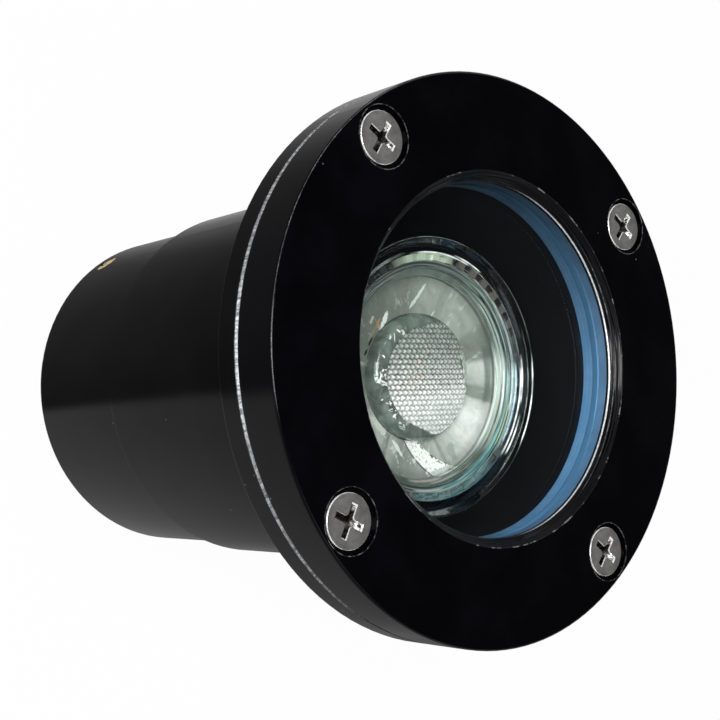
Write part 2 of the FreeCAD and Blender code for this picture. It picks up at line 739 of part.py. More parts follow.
def socket_screws():
    """Two screws, up through the strap into the socket."""
    head = (SOCKET_SCREW_HEAD_DIAMETER, SOCKET_SCREW_HEAD_HEIGHT)
    screw = pan_screw(SOCKET_SCREW_DIAMETER, SOCKET_SCREW_LENGTH, *head)
    screw.translate(FreeCAD.Vector(SOCKET_SCREW_SPACING / 2, 0, strap_top - STRAP_THICKNESS))
    return Part.makeCompound(around(screw, 2))


def strap_screws():
    """Two screws, down through the strap's feet into the plug."""
    head = (STRAP_SCREW_HEAD_DIAMETER, STRAP_SCREW_HEAD_HEIGHT)
    screw = pan_screw(STRAP_SCREW_DIAMETER, STRAP_SCREW_LENGTH, *head)
    screw.rotate(ORIGIN, FreeCAD.Vector(1, 0, 0), 180)
    screw.translate(FreeCAD.Vector(strap_screw_x, 0, plug_floor_z + STRAP_THICKNESS))
    return Part.makeCompound(around(screw, 2))


def lead_path(x_sign):
    """The route of one lead: down from its contact, out by the spread in two arcs, down again."""
    start_x = x_sign * PIN_SPACING / 2
    end_x = x_sign * splice_x
    bend_top = lead_top - LEAD_LENGTH / 4
    bend_bottom = lead_bottom + LEAD_LENGTH / 4
    middle = FreeCAD.Vector((start_x + end_x) / 2, 0, (bend_top + bend_bottom) / 2)
    points = [FreeCAD.Vector(start_x, 0, lead_top), FreeCAD.Vector(start_x, 0, bend_top)]
    half_drop = (bend_top - bend_bottom) / 2
    half_shift = LEAD_SPREAD / 2
    bend_radius = (half_drop ** 2 + half_shift ** 2) / (2 * half_shift)
    turn = math.asin(half_drop / bend_radius) / 2
    dip = bend_radius * (1 - math.cos(turn))
    drop = bend_radius * math.sin(turn)
    upper = FreeCAD.Vector(start_x + x_sign * dip, 0, bend_top - drop)
    lower = FreeCAD.Vector(end_x - x_sign * dip, 0, bend_bottom + drop)
    last = FreeCAD.Vector(end_x, 0, bend_bottom)
    edges = [
        Part.LineSegment(points[0], points[1]).toShape(),
        Part.Arc(points[1], upper, middle).toShape(),
        Part.Arc(middle, lower, last).toShape(),
        Part.LineSegment(last, FreeCAD.Vector(end_x, 0, lead_bottom)).toShape(),
    ]
    return Part.Wire(edges)


def socket_leads():
    """Two insulated leads, from the socket's contacts down to the splices."""
    leads = []
    for x_sign in (-1, 1):
        path = lead_path(x_sign)
        centre = FreeCAD.Vector(x_sign * PIN_SPACING / 2, 0, lead_top)
        section = Part.Wire(Part.makeCircle(LEAD_DIAMETER / 2, centre, UP))
        leads.append(path.makePipeShell([section], True, True))
    return Part.makeCompound(leads)


def splices():
    """Two crimp sleeves: each takes a lead at its top and is open below for the supply cable's core."""
    top = lead_bottom + SPLICE_OVERLAP
    splice_list = []
    for x in (-splice_x, splice_x):
        sleeve = rod(SPLICE_DIAMETER / 2, top - SPLICE_LENGTH, top, x)
        sleeve = sleeve.cut(rod(LEAD_DIAMETER / 2 + FIT, lead_bottom, top + CUT_PAST, x))
        core_bottom = top - SPLICE_LENGTH - CUT_PAST
        sleeve = sleeve.cut(rod(SPLICE_BORE_DIAMETER / 2, core_bottom, lead_bottom - SEAT_GAP, x))
        splice_list.append(sleeve)
    return Part.makeCompound(splice_list)


def gland_body():
    """Gland body: spigot through the plug, hexagon, and a sleeve that ends in spring claws."""
    body = rod(gland_radius, sleeve_bottom, spigot_top)
    body = body.fuse(hexagon(GLAND_HEX_WIDTH, gland_hex_bottom, gland_hex_top))
    body = body.cut(through_hole(GLAND_BORE_DIAMETER / 2, sleeve_bottom, spigot_top))
    seal_top = seal_bottom + SEAL_LENGTH + FIT
    body = body.cut(rod(SEAL_DIAMETER / 2 + FIT, sleeve_bottom - CUT_PAST, seal_top))
    corner = FreeCAD.Vector(0, -GLAND_CLAW_SLIT / 2, sleeve_bottom - CUT_PAST)
    slit_length = GLAND_CLAW_LENGTH + CUT_PAST
    slit = Part.makeBox(gland_radius + CUT_PAST, GLAND_CLAW_SLIT, slit_length, corner)
    for tool in around(slit, GLAND_CLAW_COUNT):
        body = body.cut(tool)
    return body


def gland_washer():
    return tube(GLAND_WASHER_DIAMETER / 2, gland_radius + FIT, gland_hex_top, plug_bottom)


def gland_locknut():
    """Hexagonal nut on the spigot, against the plug's floor."""
    nut_height = plug_floor_z + LOCKNUT_HEIGHT
    nut = hexagon(LOCKNUT_WIDTH, plug_floor_z, nut_height)
    return nut.cut(through_hole(gland_radius + FIT, plug_floor_z, nut_height))


def gland_seal():
    """Rubber sleeve that the nut squeezes onto the cable."""
    return tube(SEAL_DIAMETER / 2, CABLE_HOLE_DIAMETER / 2, seal_bottom, seal_bottom + SEAL_LENGTH)


def gland_nut():
    """Compression nut: a hexagon with bevelled corners that runs into a dome with the cable's hole."""
    inner_radius = gland_radius + SLIDE_FIT
    hole_radius = CABLE_HOLE_DIAMETER / 2 + SEAT_GAP
    flat_radius = GLAND_HEX_WIDTH / 2
    clear_radius = flat_radius / math.cos(math.pi / 6) + SEAT_GAP
    bevel = clear_radius - flat_radius
    dome_top = nut_top - NUT_HEX_LENGTH
    dome_end = hole_radius + NUT_END_WALL / 2
    dome_width = flat_radius - dome_end
    dome_height = dome_top - nut_bottom
    middle = (dome_end + dome_width * math.sqrt(0.5), dome_top - dome_height * math.sqrt(0.5))
    envelope = turned(
        (0, nut_bottom - CUT_PAST),
        (dome_end, nut_bottom - CUT_PAST),
        (dome_end, nut_bottom),
        (middle, (flat_radius, dome_top)),
        (clear_radius, dome_top + bevel),
        (clear_radius, nut_top - bevel / 2),
        (flat_radius, nut_top),
        (flat_radius, nut_top + CUT_PAST),
        (0, nut_top + CUT_PAST),
    )
    nut = hexagon(GLAND_HEX_WIDTH, nut_bottom, nut_top).common(envelope)
    nut = nut.cut(rod(inner_radius, nut_bottom + NUT_END_WALL, nut_top + CUT_PAST))
    return nut.cut(through_hole(hole_radius, nut_bottom, nut_top))


PIECES = {
    "housing": housing,
    "face_ring": face_ring,
    "face_screws": face_screws,
    "lens": lens,
    "lens_gasket": lens_gasket,
    "lamp_cup": lamp_cup,
    "lamp_dish": lamp_dish,
    "bead_lens": bead_lens,
    "led_chip": led_chip,
    "lamp_board": lamp_board,
    "heat_slug": heat_slug,
    "lamp_driver": lamp_driver,
    "lamp_base": lamp_base,
    "lamp_pins": lamp_pins,
    "socket_body": socket_body,
    "socket_contacts": socket_contacts,
    "socket_strap": socket_strap,
    "socket_screws": socket_screws,
    "strap_screws": strap_screws,
    "socket_leads": socket_leads,
    "splices": splices,
    "end_plug": end_plug,
    "plug_o_ring": plug_o_ring,
    "lock_screw": lock_screw,
    "gland_body": gland_body,
    "gland_washer": gland_washer,
    "gland_locknut": gland_locknut,
    "gland_seal": gland_seal,
    "gland_nut": gland_nut,
}

LEANING_PIECES = (
    "lamp_cup", "lamp_dish", "bead_lens", "led_chip", "lamp_board", "heat_slug", "lamp_driver",
    "lamp_base", "lamp_pins", "socket_contacts",
)


def leaned(shape):
    """The shape turned with the lamp, about the middle of the contacts."""
    heading = math.radians(LAMP_LEAN_HEADING)
    across = FreeCAD.Vector(-math.sin(heading), math.cos(heading), 0)
    shape.rotate(FreeCAD.Vector(0, 0, lean_z), across, LAMP_LEAN)
    return shape


os.makedirs("parts", exist_ok=True)
for name, make in PIECES.items():
    shape = make()
    if name in LEANING_PIECES:
        shape = leaned(shape)
    shape.exportStep(f"parts/{name}.step")
    box = shape.BoundBox
    print(f"{name}: {len(shape.Solids)} solids, valid {shape.isValid()}, {shape.Volume:.1f} mm3, "
          f"z {box.ZMin:.2f} to {box.ZMax:.2f}")
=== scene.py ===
import math

import bmesh
import bpy
import numpy as np
from mathutils import Matrix, Vector


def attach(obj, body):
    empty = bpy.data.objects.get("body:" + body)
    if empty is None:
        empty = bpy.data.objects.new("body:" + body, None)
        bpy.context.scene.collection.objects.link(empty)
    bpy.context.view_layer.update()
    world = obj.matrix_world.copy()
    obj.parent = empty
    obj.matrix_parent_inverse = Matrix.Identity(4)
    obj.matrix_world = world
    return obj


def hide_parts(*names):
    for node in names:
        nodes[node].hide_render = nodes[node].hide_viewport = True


# The look of an in-ground well light. Metres, in the CAD part's own frame: z = 0 is the flange's
# underside, +Z points out of the glass face, +X points at the first face screw.

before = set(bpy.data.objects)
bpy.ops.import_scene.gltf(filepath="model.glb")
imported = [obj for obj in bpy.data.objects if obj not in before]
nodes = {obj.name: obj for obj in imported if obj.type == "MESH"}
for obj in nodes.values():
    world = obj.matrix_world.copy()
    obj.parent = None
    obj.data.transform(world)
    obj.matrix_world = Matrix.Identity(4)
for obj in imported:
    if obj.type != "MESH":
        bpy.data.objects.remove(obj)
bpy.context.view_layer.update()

MM = 0.001

# Places and sizes on the part, in millimetres
FACE_RADIUS = 50.0
FACE_Z = 14.2
FLANGE_TOP = 5.3
CHAMFER_RADIUS = 32.7
CHAMFER_DEPTH = 1.95
THROAT_RADIUS = 31.15
GASKET_INNER_RADIUS = 31.25
STEP_Z = -58.9
FRONT_BARREL_RADIUS = 36.2
CAN_PAINT_RADIUS = 33.0
SCREW_CIRCLE_RADIUS = 44.0
RECESS_RADIUS = 5.3
SCREW_TOP = 13.7
SCREW_HEAD_RADIUS = 4.5
LAMP_RADIUS = 25.6
RIM_Z = -2.65
RIM_LEDGE_RADIUS = 24.3
DISH_RADIUS = 22.65
DISH_Z = -3.75
DISH_STEP_WIDTH = 1.3
FACET_RADIUS = 18.75
FACET_BORDER_Z = -6.9
NOTCH_COUNT = 42
BEAD_LENS_RADIUS = 11.8
BEAD_LENS_Z = -7.55
BEAD_FACE_RADIUS = 9.0
BEAD_FACE_Z = -5.65
BEAD_FACE_DOME = 0.8
FLOOR_Z = -111.9

# The lamp leans in its socket: everything on it is turned about this point, towards the heading
LEAN = math.radians(3.35)
LEAN_HEADING = math.radians(115)
LEAN_Z = -49.65

# Camera, solved from the photograph's circles: place in metres, turn in degrees, lens in mm
CAMERA_PLACE = (0.08566, 0.14043, 0.16819)
CAMERA_TURN = (5.229, -40.285, -128.653)
CAMERA_LENS = 64.53


def lean_matrix():
    """Takes a point of the upright lamp to its place on the leaning one."""
    across = Vector((-math.sin(LEAN_HEADING), math.cos(LEAN_HEADING), 0))
    pivot = Matrix.Translation((0, 0, LEAN_Z * MM))
    return pivot @ Matrix.Rotation(LEAN, 4, across) @ pivot.inverted()


class Nodes:
    """Short calls that add shader nodes to a material or to the world."""

    def __init__(self, owner):
        owner.use_nodes = True
        self.tree = owner.node_tree
        self.tree.nodes.clear()

    def node(self, kind, **settings):
        made = self.tree.nodes.new("ShaderNode" + kind)
        for key, value in settings.items():
            setattr(made, key, value)
        return made

    def link(self, source, target):
        self.tree.links.new(source, target)

    def put(self, target, value):
        """Gives an input a constant, or links it to another node's output."""
        if isinstance(value, bpy.types.NodeSocket):
            self.link(value, target)
        elif isinstance(value, tuple) and len(value) == 3 and target.type == "RGBA":
            target.default_value = (*value, 1)
        else:
            target.default_value = value

    def math(self, operation, a, b=0.0, c=0.0):
        made = self.node("Math", operation=operation)
        for target, value in zip(made.inputs, (a, b, c)):
            self.put(target, value)
        return made.outputs[0]

    def plus(self, a, b):
        return self.math("ADD", a, b)

    def minus(self, a, b):
        return self.math("SUBTRACT", a, b)

    def times_plus(self, a, b, c):
        return self.math("MULTIPLY_ADD", a, b, c)

    def product(self, first, *others):
        for other in others:
            first = self.math("MULTIPLY", first, other)
        return first

    def largest(self, first, *others):
        for other in others:
            first = self.math("MAXIMUM", first, other)
        return first

    def length(self, a, b):
        """Length of the vector (a, b)."""
        return self.math("SQRT", self.times_plus(b, b, self.product(a, a)))

    def vector(self, a, b=0.0):
        """The vector (a, b, 0)."""
        made = self.node("CombineXYZ")
        self.put(made.inputs[0], a)
        self.put(made.inputs[1], b)
        return made.outputs[0]

    def ramp(self, value, low, high, out_low=0.0, out_high=1.0, smooth=True):
        """Maps low..high to out_low..out_high, held at both ends."""
        made = self.node("MapRange", interpolation_type="SMOOTHSTEP" if smooth else "LINEAR")
        for target, given in zip(made.inputs, (value, low, high, out_low, out_high)):
            self.put(target, given)
        return made.outputs[0]

    def bands(self, value, *stops):
        """A colour ramp. Each stop is (position, colour)."""
        made = self.node("ValToRGB")
        self.put(made.inputs[0], value)
        elements = made.color_ramp.elements
        while len(elements) < len(stops):
            elements.new(0.5)
        for element, (position, colour) in zip(elements, stops):
            element.position = position
            element.color = (*colour, 1)
        return made.outputs[0]

    def mix(self, share, a, b):
        """Colour a where share is 0, colour b where it is 1."""
        made = self.node("Mix", data_type="RGBA")
        self.put(made.inputs[0], share)
        self.put(made.inputs[6], a)
        self.put(made.inputs[7], b)
        return made.outputs[2]

    def blend(self, share, a, b):
        """Number a where share is 0, number b where it is 1."""
        made = self.node("Mix", data_type="FLOAT")
        for target, value in zip(made.inputs[0:1] + made.inputs[2:4], (share, a, b)):
            self.put(target, value)
        return made.outputs[0]


class Finish(Nodes):
    """A procedural material: a Principled shader, and patterns in the object's coordinates."""

    def __init__(self, name, **constants):
        self.material = bpy.data.materials.new(name)
        super().__init__(self.material)
        self.output = self.node("OutputMaterial")
        self.shader = self.node("BsdfPrincipled")
        self.link(self.shader.outputs[0], self.output.inputs["Surface"])
        self.set(**constants)
        self.coords = self.node("TexCoord").outputs["Object"]
        self.found = None

    def follow_lamp(self):
        """From here on, coordinates are those of the upright lamp."""
        lean = lean_matrix()
        made = self.node("Mapping", vector_type="TEXTURE")
        self.put(made.inputs["Vector"], self.coords)
        made.inputs["Location"].default_value = lean.translation
        made.inputs["Rotation"].default_value = lean.to_euler()
        self.coords = made.outputs[0]

    def set(self, **inputs):
        for key, value in inputs.items():
            self.put(self.shader.inputs[key.replace("_", " ")], value)

    def place(self):
        """x, y and z in millimetres, and the distance from the light's axis."""
        if self.found is None:
            scaled = self.node("Mapping")
            self.put(scaled.inputs["Vector"], self.coords)
            scaled.inputs["Scale"].default_value = (1 / MM,) * 3
            split = self.node("SeparateXYZ")
            self.link(scaled.outputs[0], split.inputs[0])
            x, y, z = split.outputs
            self.found = x, y, z, self.length(x, y)
        return self.found

    def angle(self):
        """Turns about the light's axis, 0 to 1."""
        x, y = self.place()[:2]
        turn = self.math("ARCTAN2", y, x)
        return self.math("FRACT", self.math("DIVIDE", turn, math.tau))

    def along(self, degrees):
        """Millimetres from the axis along a heading."""
        x, y = self.place()[:2]
        heading = math.radians(degrees)
        return self.times_plus(y, math.sin(heading), self.product(x, math.cos(heading)))

    def facing(self, degrees, low, high):
        """0 to 1 as the direction from the axis turns towards the heading: cosines low to high."""
        cosine = self.math("DIVIDE", self.along(degrees), self.place()[3])
        return self.ramp(cosine, low, high)

    def near(self, value, place, width):
        """1 where the value is at the place, falling to 0 at the width."""
        away = self.math("ABSOLUTE", self.minus(value, place))
        return self.ramp(away, width * 0.4, width, 1.0, 0.0)

    def within(self, value, low, high, soft=0.1):
        """1 where the value lies between low and high."""
        above = self.ramp(value, low - soft, low)
        return self.product(above, self.ramp(value, high, high + soft, 1.0, 0.0))

    def near_ring(self, radius, z, width, ragged=0.0):
        """1 along the circle at (radius, z), falling to 0 at the width, with a ragged border."""
        __, __, height, distance = self.place()
        gap = self.length(self.minus(distance, radius), self.minus(height, z))
        return self.ramp(self.plus(gap, ragged), width * 0.6, width * 1.15, 1.0, 0.0)

    def noise(self, scale, detail=3.0, roughness=0.55, vector=None, distortion=0.0):
        made = self.node("TexNoise")
        self.put(made.inputs["Vector"], vector or self.coords)
        for key, value in (("Scale", scale), ("Detail", detail), ("Roughness", roughness)):
            made.inputs[key].default_value = value
        made.inputs["Distortion"].default_value = distortion
        return made.outputs["Fac"]

    def streaks(self, around, value, outwards, detail=4.0):
        """Noise that runs round the axis or outwards, by its two scales."""
        vector = self.vector(self.product(self.angle(), around), self.product(value, outwards))
        return self.noise(1.0, detail=detail, roughness=0.65, vector=vector)

    def cells(self, scale):
        """Distance to the nearest point of a scatter."""
        made = self.node("TexVoronoi")
        self.put(made.inputs["Vector"], self.coords)
        made.inputs["Scale"].default_value = scale
        return made.outputs["Distance"]

    def bump(self, *layers):
        """Bump from (height, distance in millimetres) layers, each on top of the last."""
        normal = None
        for height, distance in layers:
            made = self.node("Bump")
            made.inputs["Strength"].default_value = 1
            made.inputs["Distance"].default_value = distance * MM
            self.put(made.inputs["Height"], height)
            if normal is not None:
                self.put(made.inputs["Normal"], normal)
            normal = made.outputs[0]
        self.set(Normal=normal)

    def lets_lamps_through(self, tint):
        """Glass that light from lamps passes, so that what is behind it is lit."""
        path = self.node("LightPath")
        clear = self.node("BsdfTransparent")
        self.put(clear.inputs[0], tint)
        mixed = self.node("MixShader")
        self.link(path.outputs["Is Shadow Ray"], mixed.inputs[0])
        self.link(self.shader.outputs[0], mixed.inputs[1])
        self.link(clear.outputs[0], mixed.inputs[2])
        self.link(mixed.outputs[0], self.output.inputs["Surface"])


def dress(node_name, finish):
    """Gives a CAD node the finish."""
    for slot in nodes[node_name].material_slots:
        slot.material = finish.material


# ---------------------------------------------------------------- Coats, metals, plastics, glass

# Dull and bare colours of the metal under a coat
WORN_METAL = (0.12, 0.12, 0.13), (0.62, 0.63, 0.65)
BRIGHT_METAL = (0.5, 0.5, 0.52), (0.95, 0.96, 0.98)


def screw_recess_rim(coat, ragged):
    """1 along the upper edge of the four screw recesses."""
    x, y, z, __ = coat.place()
    across, along = coat.math("ABSOLUTE", x), coat.math("ABSOLUTE", y)
    outwards = coat.minus(coat.math("MAXIMUM", across, along), SCREW_CIRCLE_RADIUS)
    sideways = coat.math("MINIMUM", across, along)
    rim = coat.math("ABSOLUTE", coat.minus(coat.length(outwards, sideways), RECESS_RADIUS))
    low = coat.math("ABSOLUTE", coat.minus(z, FACE_Z))
    gap = coat.plus(coat.plus(rim, low), coat.product(ragged, 0.5))
    return coat.ramp(gap, 0.05, 0.16, 1.0, 0.0)


def wear_and_highlight_edges(coat, edges, ragged):
    """How far the coat is rubbed off to bare metal along each edge, 0 to 1. Each edge shows only on
    the side that faces its heading, so the bare metal is a painted highlight as well as wear.

    An edge is (radius, z, width, strength, patchiness, heading, low, high): it is bare where it
    faces the heading, by cosines low to high."""
    patches = coat.noise(330, detail=3, roughness=0.7)
    for radius, z, width, strength, patchiness, heading, low, high in edges:
        along = coat.near_ring(radius, z, width, coat.product(ragged, width * 3.4))
        bare = (0.36 + patchiness * 0.2, 0.5 + patchiness * 0.14, 1 - patchiness, 1.0)
        patch = coat.ramp(patches, *bare)
        # Shown only where the edge faces the heading: a painted highlight on the bare metal
        yield coat.product(along, patch, coat.facing(heading, low, high), strength)


def chamfer_sheen(coat, sheen):
    """Roughness of the ring: thin shiny streaks on the chamfer round its opening."""
    z, radius = coat.place()[2:]
    turned = coat.vector(coat.product(z, 3.2), coat.product(coat.angle(), 9.0))
    streak = coat.noise(1.0, detail=3, roughness=0.7, vector=turned)
    chamfer = coat.ramp(radius, CHAMFER_RADIUS, CHAMFER_RADIUS + 0.1, 1.0, 0.0)
    return coat.blend(chamfer, sheen, coat.ramp(streak, 0.42, 0.6, 0.8, 0.1))


def black_coat(name, colour, roughness, edges=(), metals=WORN_METAL, specks=0.0, inside=0.0,
               ring=False):
    """Satin black coat over aluminium, rubbed through to bare metal in specks and along some edges,
    where the bare metal is a painted highlight, shown only on the side facing each edge's heading.

    Nearer the axis than inside, the coat is matt and painted darker: painted shade in the bore. On
    the ring the screw recesses have rubbed rims, and the chamfer shines in thin streaks."""
    coat = Finish(name, Specular_IOR_Level=0.15)
    __, __, z, radius = coat.place()
    fine = coat.noise(900, detail=5)
    sheen = coat.times_plus(fine, 0.12, roughness - 0.06)
    if inside:
        sheen = coat.blend(coat.ramp(radius, inside, inside + 0.1, 1.0, 0.0), sheen, 0.9)
    if ring:
        sheen = chamfer_sheen(coat, sheen)
    ragged = coat.times_plus(coat.noise(1500, detail=6, roughness=0.75), 0.3, -0.15)
    some = coat.ramp(coat.noise(260, detail=1), 0.7 - specks, 0.72 - specks)
    wear_and_highlight = coat.product(coat.ramp(coat.cells(330), 0.03, 0.075, 1.0, 0.0), some, 0.3)
    # Bare edges, lit as a painted highlight only on the side facing each edge's heading
    wear_and_highlight = coat.largest(wear_and_highlight, *wear_and_highlight_edges(coat, edges, ragged))
    if ring:
        broken = coat.ramp(coat.noise(700, detail=2), 0.42, 0.58, 0.02, 0.2)
        wear_and_highlight = coat.largest(wear_and_highlight, coat.product(screw_recess_rim(coat, ragged), broken))
    lighter = tuple(channel * 1.7 + 0.0006 for channel in colour)
    paint = coat.mix(coat.ramp(coat.noise(90, detail=4), 0.35, 0.7), colour, lighter)
    # Painted shade: nearer the axis than inside, the bore is darker
    if inside:
        share = coat.ramp(radius, inside, inside + 0.1, 0.9, 0.0)
        paint = coat.mix(share, paint, (0.0, 0.0, 0.0001))
    slant = coat.vector(coat.times_plus(coat.angle(), 900.0, z), coat.product(z, 0.3))
    brushed = coat.noise(1.6, detail=3, roughness=0.7, vector=slant)
    scratched = coat.ramp(coat.noise(2600, detail=2), 0.4, 0.6, 0.45, 1.0)
    metal = coat.mix(coat.product(coat.ramp(brushed, 0.36, 0.56), scratched), *metals)
    coat.set(Base_Color=coat.mix(wear_and_highlight, paint, metal))
    coat.set(Metallic=coat.product(wear_and_highlight, 0.5), Roughness=coat.blend(wear_and_highlight, sheen, 0.4))
    coat.bump((coat.noise(650, detail=2), 0.006), (fine, 0.0015), (brushed, 0.003))
    return coat


def turned_metal(name, dark, light, roughness, metallic=1.0):
    """Metal with fine turning marks round its own axis."""
    metal = Finish(name)
    z, radius = metal.place()[2:]
    rings = metal.noise(9.0, detail=6, roughness=0.7, vector=metal.vector(radius, z))
    cloud = metal.noise(700, detail=4)
    metal.set(Base_Color=metal.mix(metal.ramp(cloud, 0.3, 0.7), dark, light))
    metal.set(Metallic=metallic, Roughness=metal.times_plus(rings, 0.2, roughness - 0.1))
    metal.bump((rings, 0.012), (cloud, 0.004))
    return metal


def moulded(name, dark, light, roughness, depth=0.01):
    """Plastic, rubber or ceramic with slight mottling and a fine surface grain."""
    stuff = Finish(name)
    cloud = stuff.noise(220, detail=3)
    fine = stuff.noise(1500, detail=4)
    stuff.set(Base_Color=stuff.mix(stuff.ramp(cloud, 0.3, 0.7), dark, light))
    stuff.set(Roughness=stuff.times_plus(fine, 0.16, roughness - 0.08))
    stuff.bump((fine, depth))
    return stuff


def clear_glass(name, tint):
    """Clear glass with a few faint wipe marks, and a dim bluish reflection."""
    glass = Finish(name, Transmission_Weight=1.0, IOR=1.5, Specular_IOR_Level=0.12)
    glass.set(Specular_Tint=(0.15, 0.22, 0.36))
    smear = glass.noise(160, detail=4, distortion=1.5)
    glass.set(Base_Color=glass.mix(smear, tint, (0.99, 1.0, 1.0)))
    glass.set(Roughness=glass.ramp(smear, 0.45, 0.8, 0.0, 0.02))
    glass.lets_lamps_through(tint)
    return glass


# ---------------------------------------------------------------- Meshes

def object_from(name, mesh, body, finish):
    """Links a mesh as a smooth piece that rides on a CAD body."""
    piece = bpy.data.objects.new(name, mesh)
    bpy.context.scene.collection.objects.link(piece)
    mesh.materials.append(finish.material)
    mesh.polygons.foreach_set("use_smooth", [True] * len(mesh.polygons))
    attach(piece, body)
    return piece


def modified(piece):
    """Applies the piece's modifiers to its mesh."""
    bpy.context.view_layer.update()
    graph = bpy.context.evaluated_depsgraph_get()
    mesh = bpy.data.meshes.new_from_object(piece.evaluated_get(graph))
    piece.modifiers.clear()
    piece.data = mesh


def finished(made, name):
    """The mesh of a bmesh, with its faces turned outwards."""
    bmesh.ops.recalc_face_normals(made, faces=made.faces)
    mesh = bpy.data.meshes.new(name)
    made.to_mesh(mesh)
    made.free()
    return mesh


def turned_mesh(name, profile, segments):
    """A mesh turned about Z from (radius, height) pairs in millimetres. Radius 0 closes an end."""
    made = bmesh.new()
    rows = []
    for radius, height in profile:
        count = 1 if radius == 0 else segments
        row = []
        for i in range(count):
            turn = math.tau * i / segments
            corner = Vector((radius * math.cos(turn), radius * math.sin(turn), height))
            row.append(made.verts.new(corner * MM))
        rows.append(row)
    for low, high in zip(rows, rows[1:]):
        for i in range(segments):
            j = (i + 1) % segments
            corners = [row[k % len(row)] for row, k in ((low, i), (low, j), (high, j), (high, i))]
            made.faces.new(list(dict.fromkeys(corners)))
    return finished(made, name)


# ---------------------------------------------------------------- Camera, floor, lights

camera_data = bpy.data.cameras.new("camera")
camera_data.lens = CAMERA_LENS
camera_data.sensor_width = 36
camera_data.clip_start = 0.01
camera_data.clip_end = 20
camera = bpy.data.objects.new("camera", camera_data)
camera.location = CAMERA_PLACE
camera.rotation_euler = [math.radians(turn) for turn in CAMERA_TURN]
bpy.context.scene.collection.objects.link(camera)
bpy.context.scene.camera = camera
bpy.context.scene.view_settings.view_transform = "Standard"


# Brightness painted on the floor for gloss, by turns round the light from azimuth -180 degrees:
# painted shade towards the first face screw, painted light beside it, softer painted shade behind.
FLOOR_IN_GLOSS = (
    (0.0, 0.16), (0.057, 0.1), (0.113, 0.24), (0.168, 0.34), (0.224, 0.45), (0.28, 0.5),
    (0.335, 0.48), (0.39, 0.29), (0.446, 0.16), (0.6, 0.15), (0.670, 0.09), (0.679, 0.57),
    (0.78, 0.53), (0.835, 0.45), (0.89, 0.33), (0.946, 0.23),
)
FLOOR_HALF_SIDE = 4
FLOOR_COLOUR = (0.85, 0.85, 0.85)
FLOOR_GLOW = 0.97

# The world's strength: low down and high up in reflections, and as diffuse light
LOW_SKY = 0.8
CEILING = 0.048
SOFT_LIGHT = 0.24


class Backdrop(Nodes):
    """The floor's material, or the world: its nodes know what kind of ray meets them."""

    def __init__(self, owner):
        super().__init__(owner)
        path = self.node("LightPath").outputs
        self.from_camera = path["Is Camera Ray"]
        self.off_gloss = self.math("MAXIMUM", path["Is Glossy Ray"], path["Is Transmission Ray"])

    def position(self, kind):
        """The three coordinates of a kind."""
        split = self.node("SeparateXYZ")
        self.link(self.node("TexCoord").outputs[kind], split.inputs[0])
        return split.outputs


def make_floor():
    """Pale floor: nearly white to the camera, with the light's shadow, and painted shade in gloss.
    """
    mesh = bpy.data.meshes.new("floor")
    made = bmesh.new()
    bmesh.ops.create_grid(made, x_segments=8, y_segments=8, size=FLOOR_HALF_SIDE)
    made.to_mesh(mesh)
    made.free()
    floor = bpy.data.objects.new("floor", mesh)
    floor.location = (0, 0, FLOOR_Z * MM)
    bpy.context.scene.collection.objects.link(floor)
    material = bpy.data.materials.new("floor_pale")
    drop = Backdrop(material)
    x, y, __ = drop.position("Object")
    turns = drop.times_plus(drop.math("ARCTAN2", y, x), 1 / math.tau, 0.5)
    shades = drop.bands(turns, *((place, (grey,) * 3) for place, grey in FLOOR_IN_GLOSS))
    pale = drop.node("BsdfDiffuse")
    drop.put(pale.inputs["Color"], FLOOR_COLOUR)
    white = drop.node("Emission")
    drop.link(drop.blend(drop.from_camera, shades, 1.0), white.inputs["Strength"])
    seen = drop.math("MAXIMUM", drop.from_camera, drop.off_gloss)
    mixed = drop.node("MixShader")
    drop.link(drop.blend(seen, 0.0, FLOOR_GLOW), mixed.inputs[0])
    drop.link(pale.outputs[0], mixed.inputs[1])
    drop.link(white.outputs[0], mixed.inputs[2])
    drop.link(mixed.outputs[0], drop.node("OutputMaterial").inputs["Surface"])
    mesh.materials.append(material)


make_floor()


def make_world():
    """White for the camera. In reflections it is pale low down and a dark ceiling higher up."""
    world = bpy.data.worlds.new("studio")
    bpy.context.scene.world = world
    drop = Backdrop(world)
    height = drop.position("Generated")[2]
    reflected = drop.ramp(height, 0.1, 0.55, LOW_SKY, CEILING)
    lit = drop.blend(drop.off_gloss, SOFT_LIGHT, reflected)
    back = drop.node("Background")
    drop.put(back.inputs["Color"], (1.0, 1.0, 1.0))
    drop.link(drop.blend(drop.from_camera, lit, 1.0), back.inputs["Strength"])
    drop.link(back.outputs[0], drop.node("OutputWorld").inputs["Surface"])


make_world()


def softbox(name, direction, distance, size, power):
    """An area lamp that looks at the middle of the part from a direction."""
    data = bpy.data.lights.new(name, "AREA")
    data.shape = "RECTANGLE"
    data.size, data.size_y = size
    data.energy = power
    lamp = bpy.data.objects.new(name, data)
    towards = Vector(direction).normalized()
    lamp.location = towards * distance
    lamp.rotation_euler = towards.to_track_quat("Z", "Y").to_euler()
    bpy.context.scene.collection.objects.link(lamp)


softbox("key", (0.43, 0.47, 0.77), 0.7, (0.3, 0.3), 4.8)
softbox("fill", (-0.42, 0.31, 0.86), 0.8, (0.4, 0.4), 0.6)
softbox("back", (0.3, -0.95, 0.5), 0.9, (0.5, 0.3), 0.6)

# ---------------------------------------------------------------- Finishes of the CAD nodes

# Headings towards the camera's side of the light and away from it
NEAR_SIDE, FAR_SIDE = 40, 231
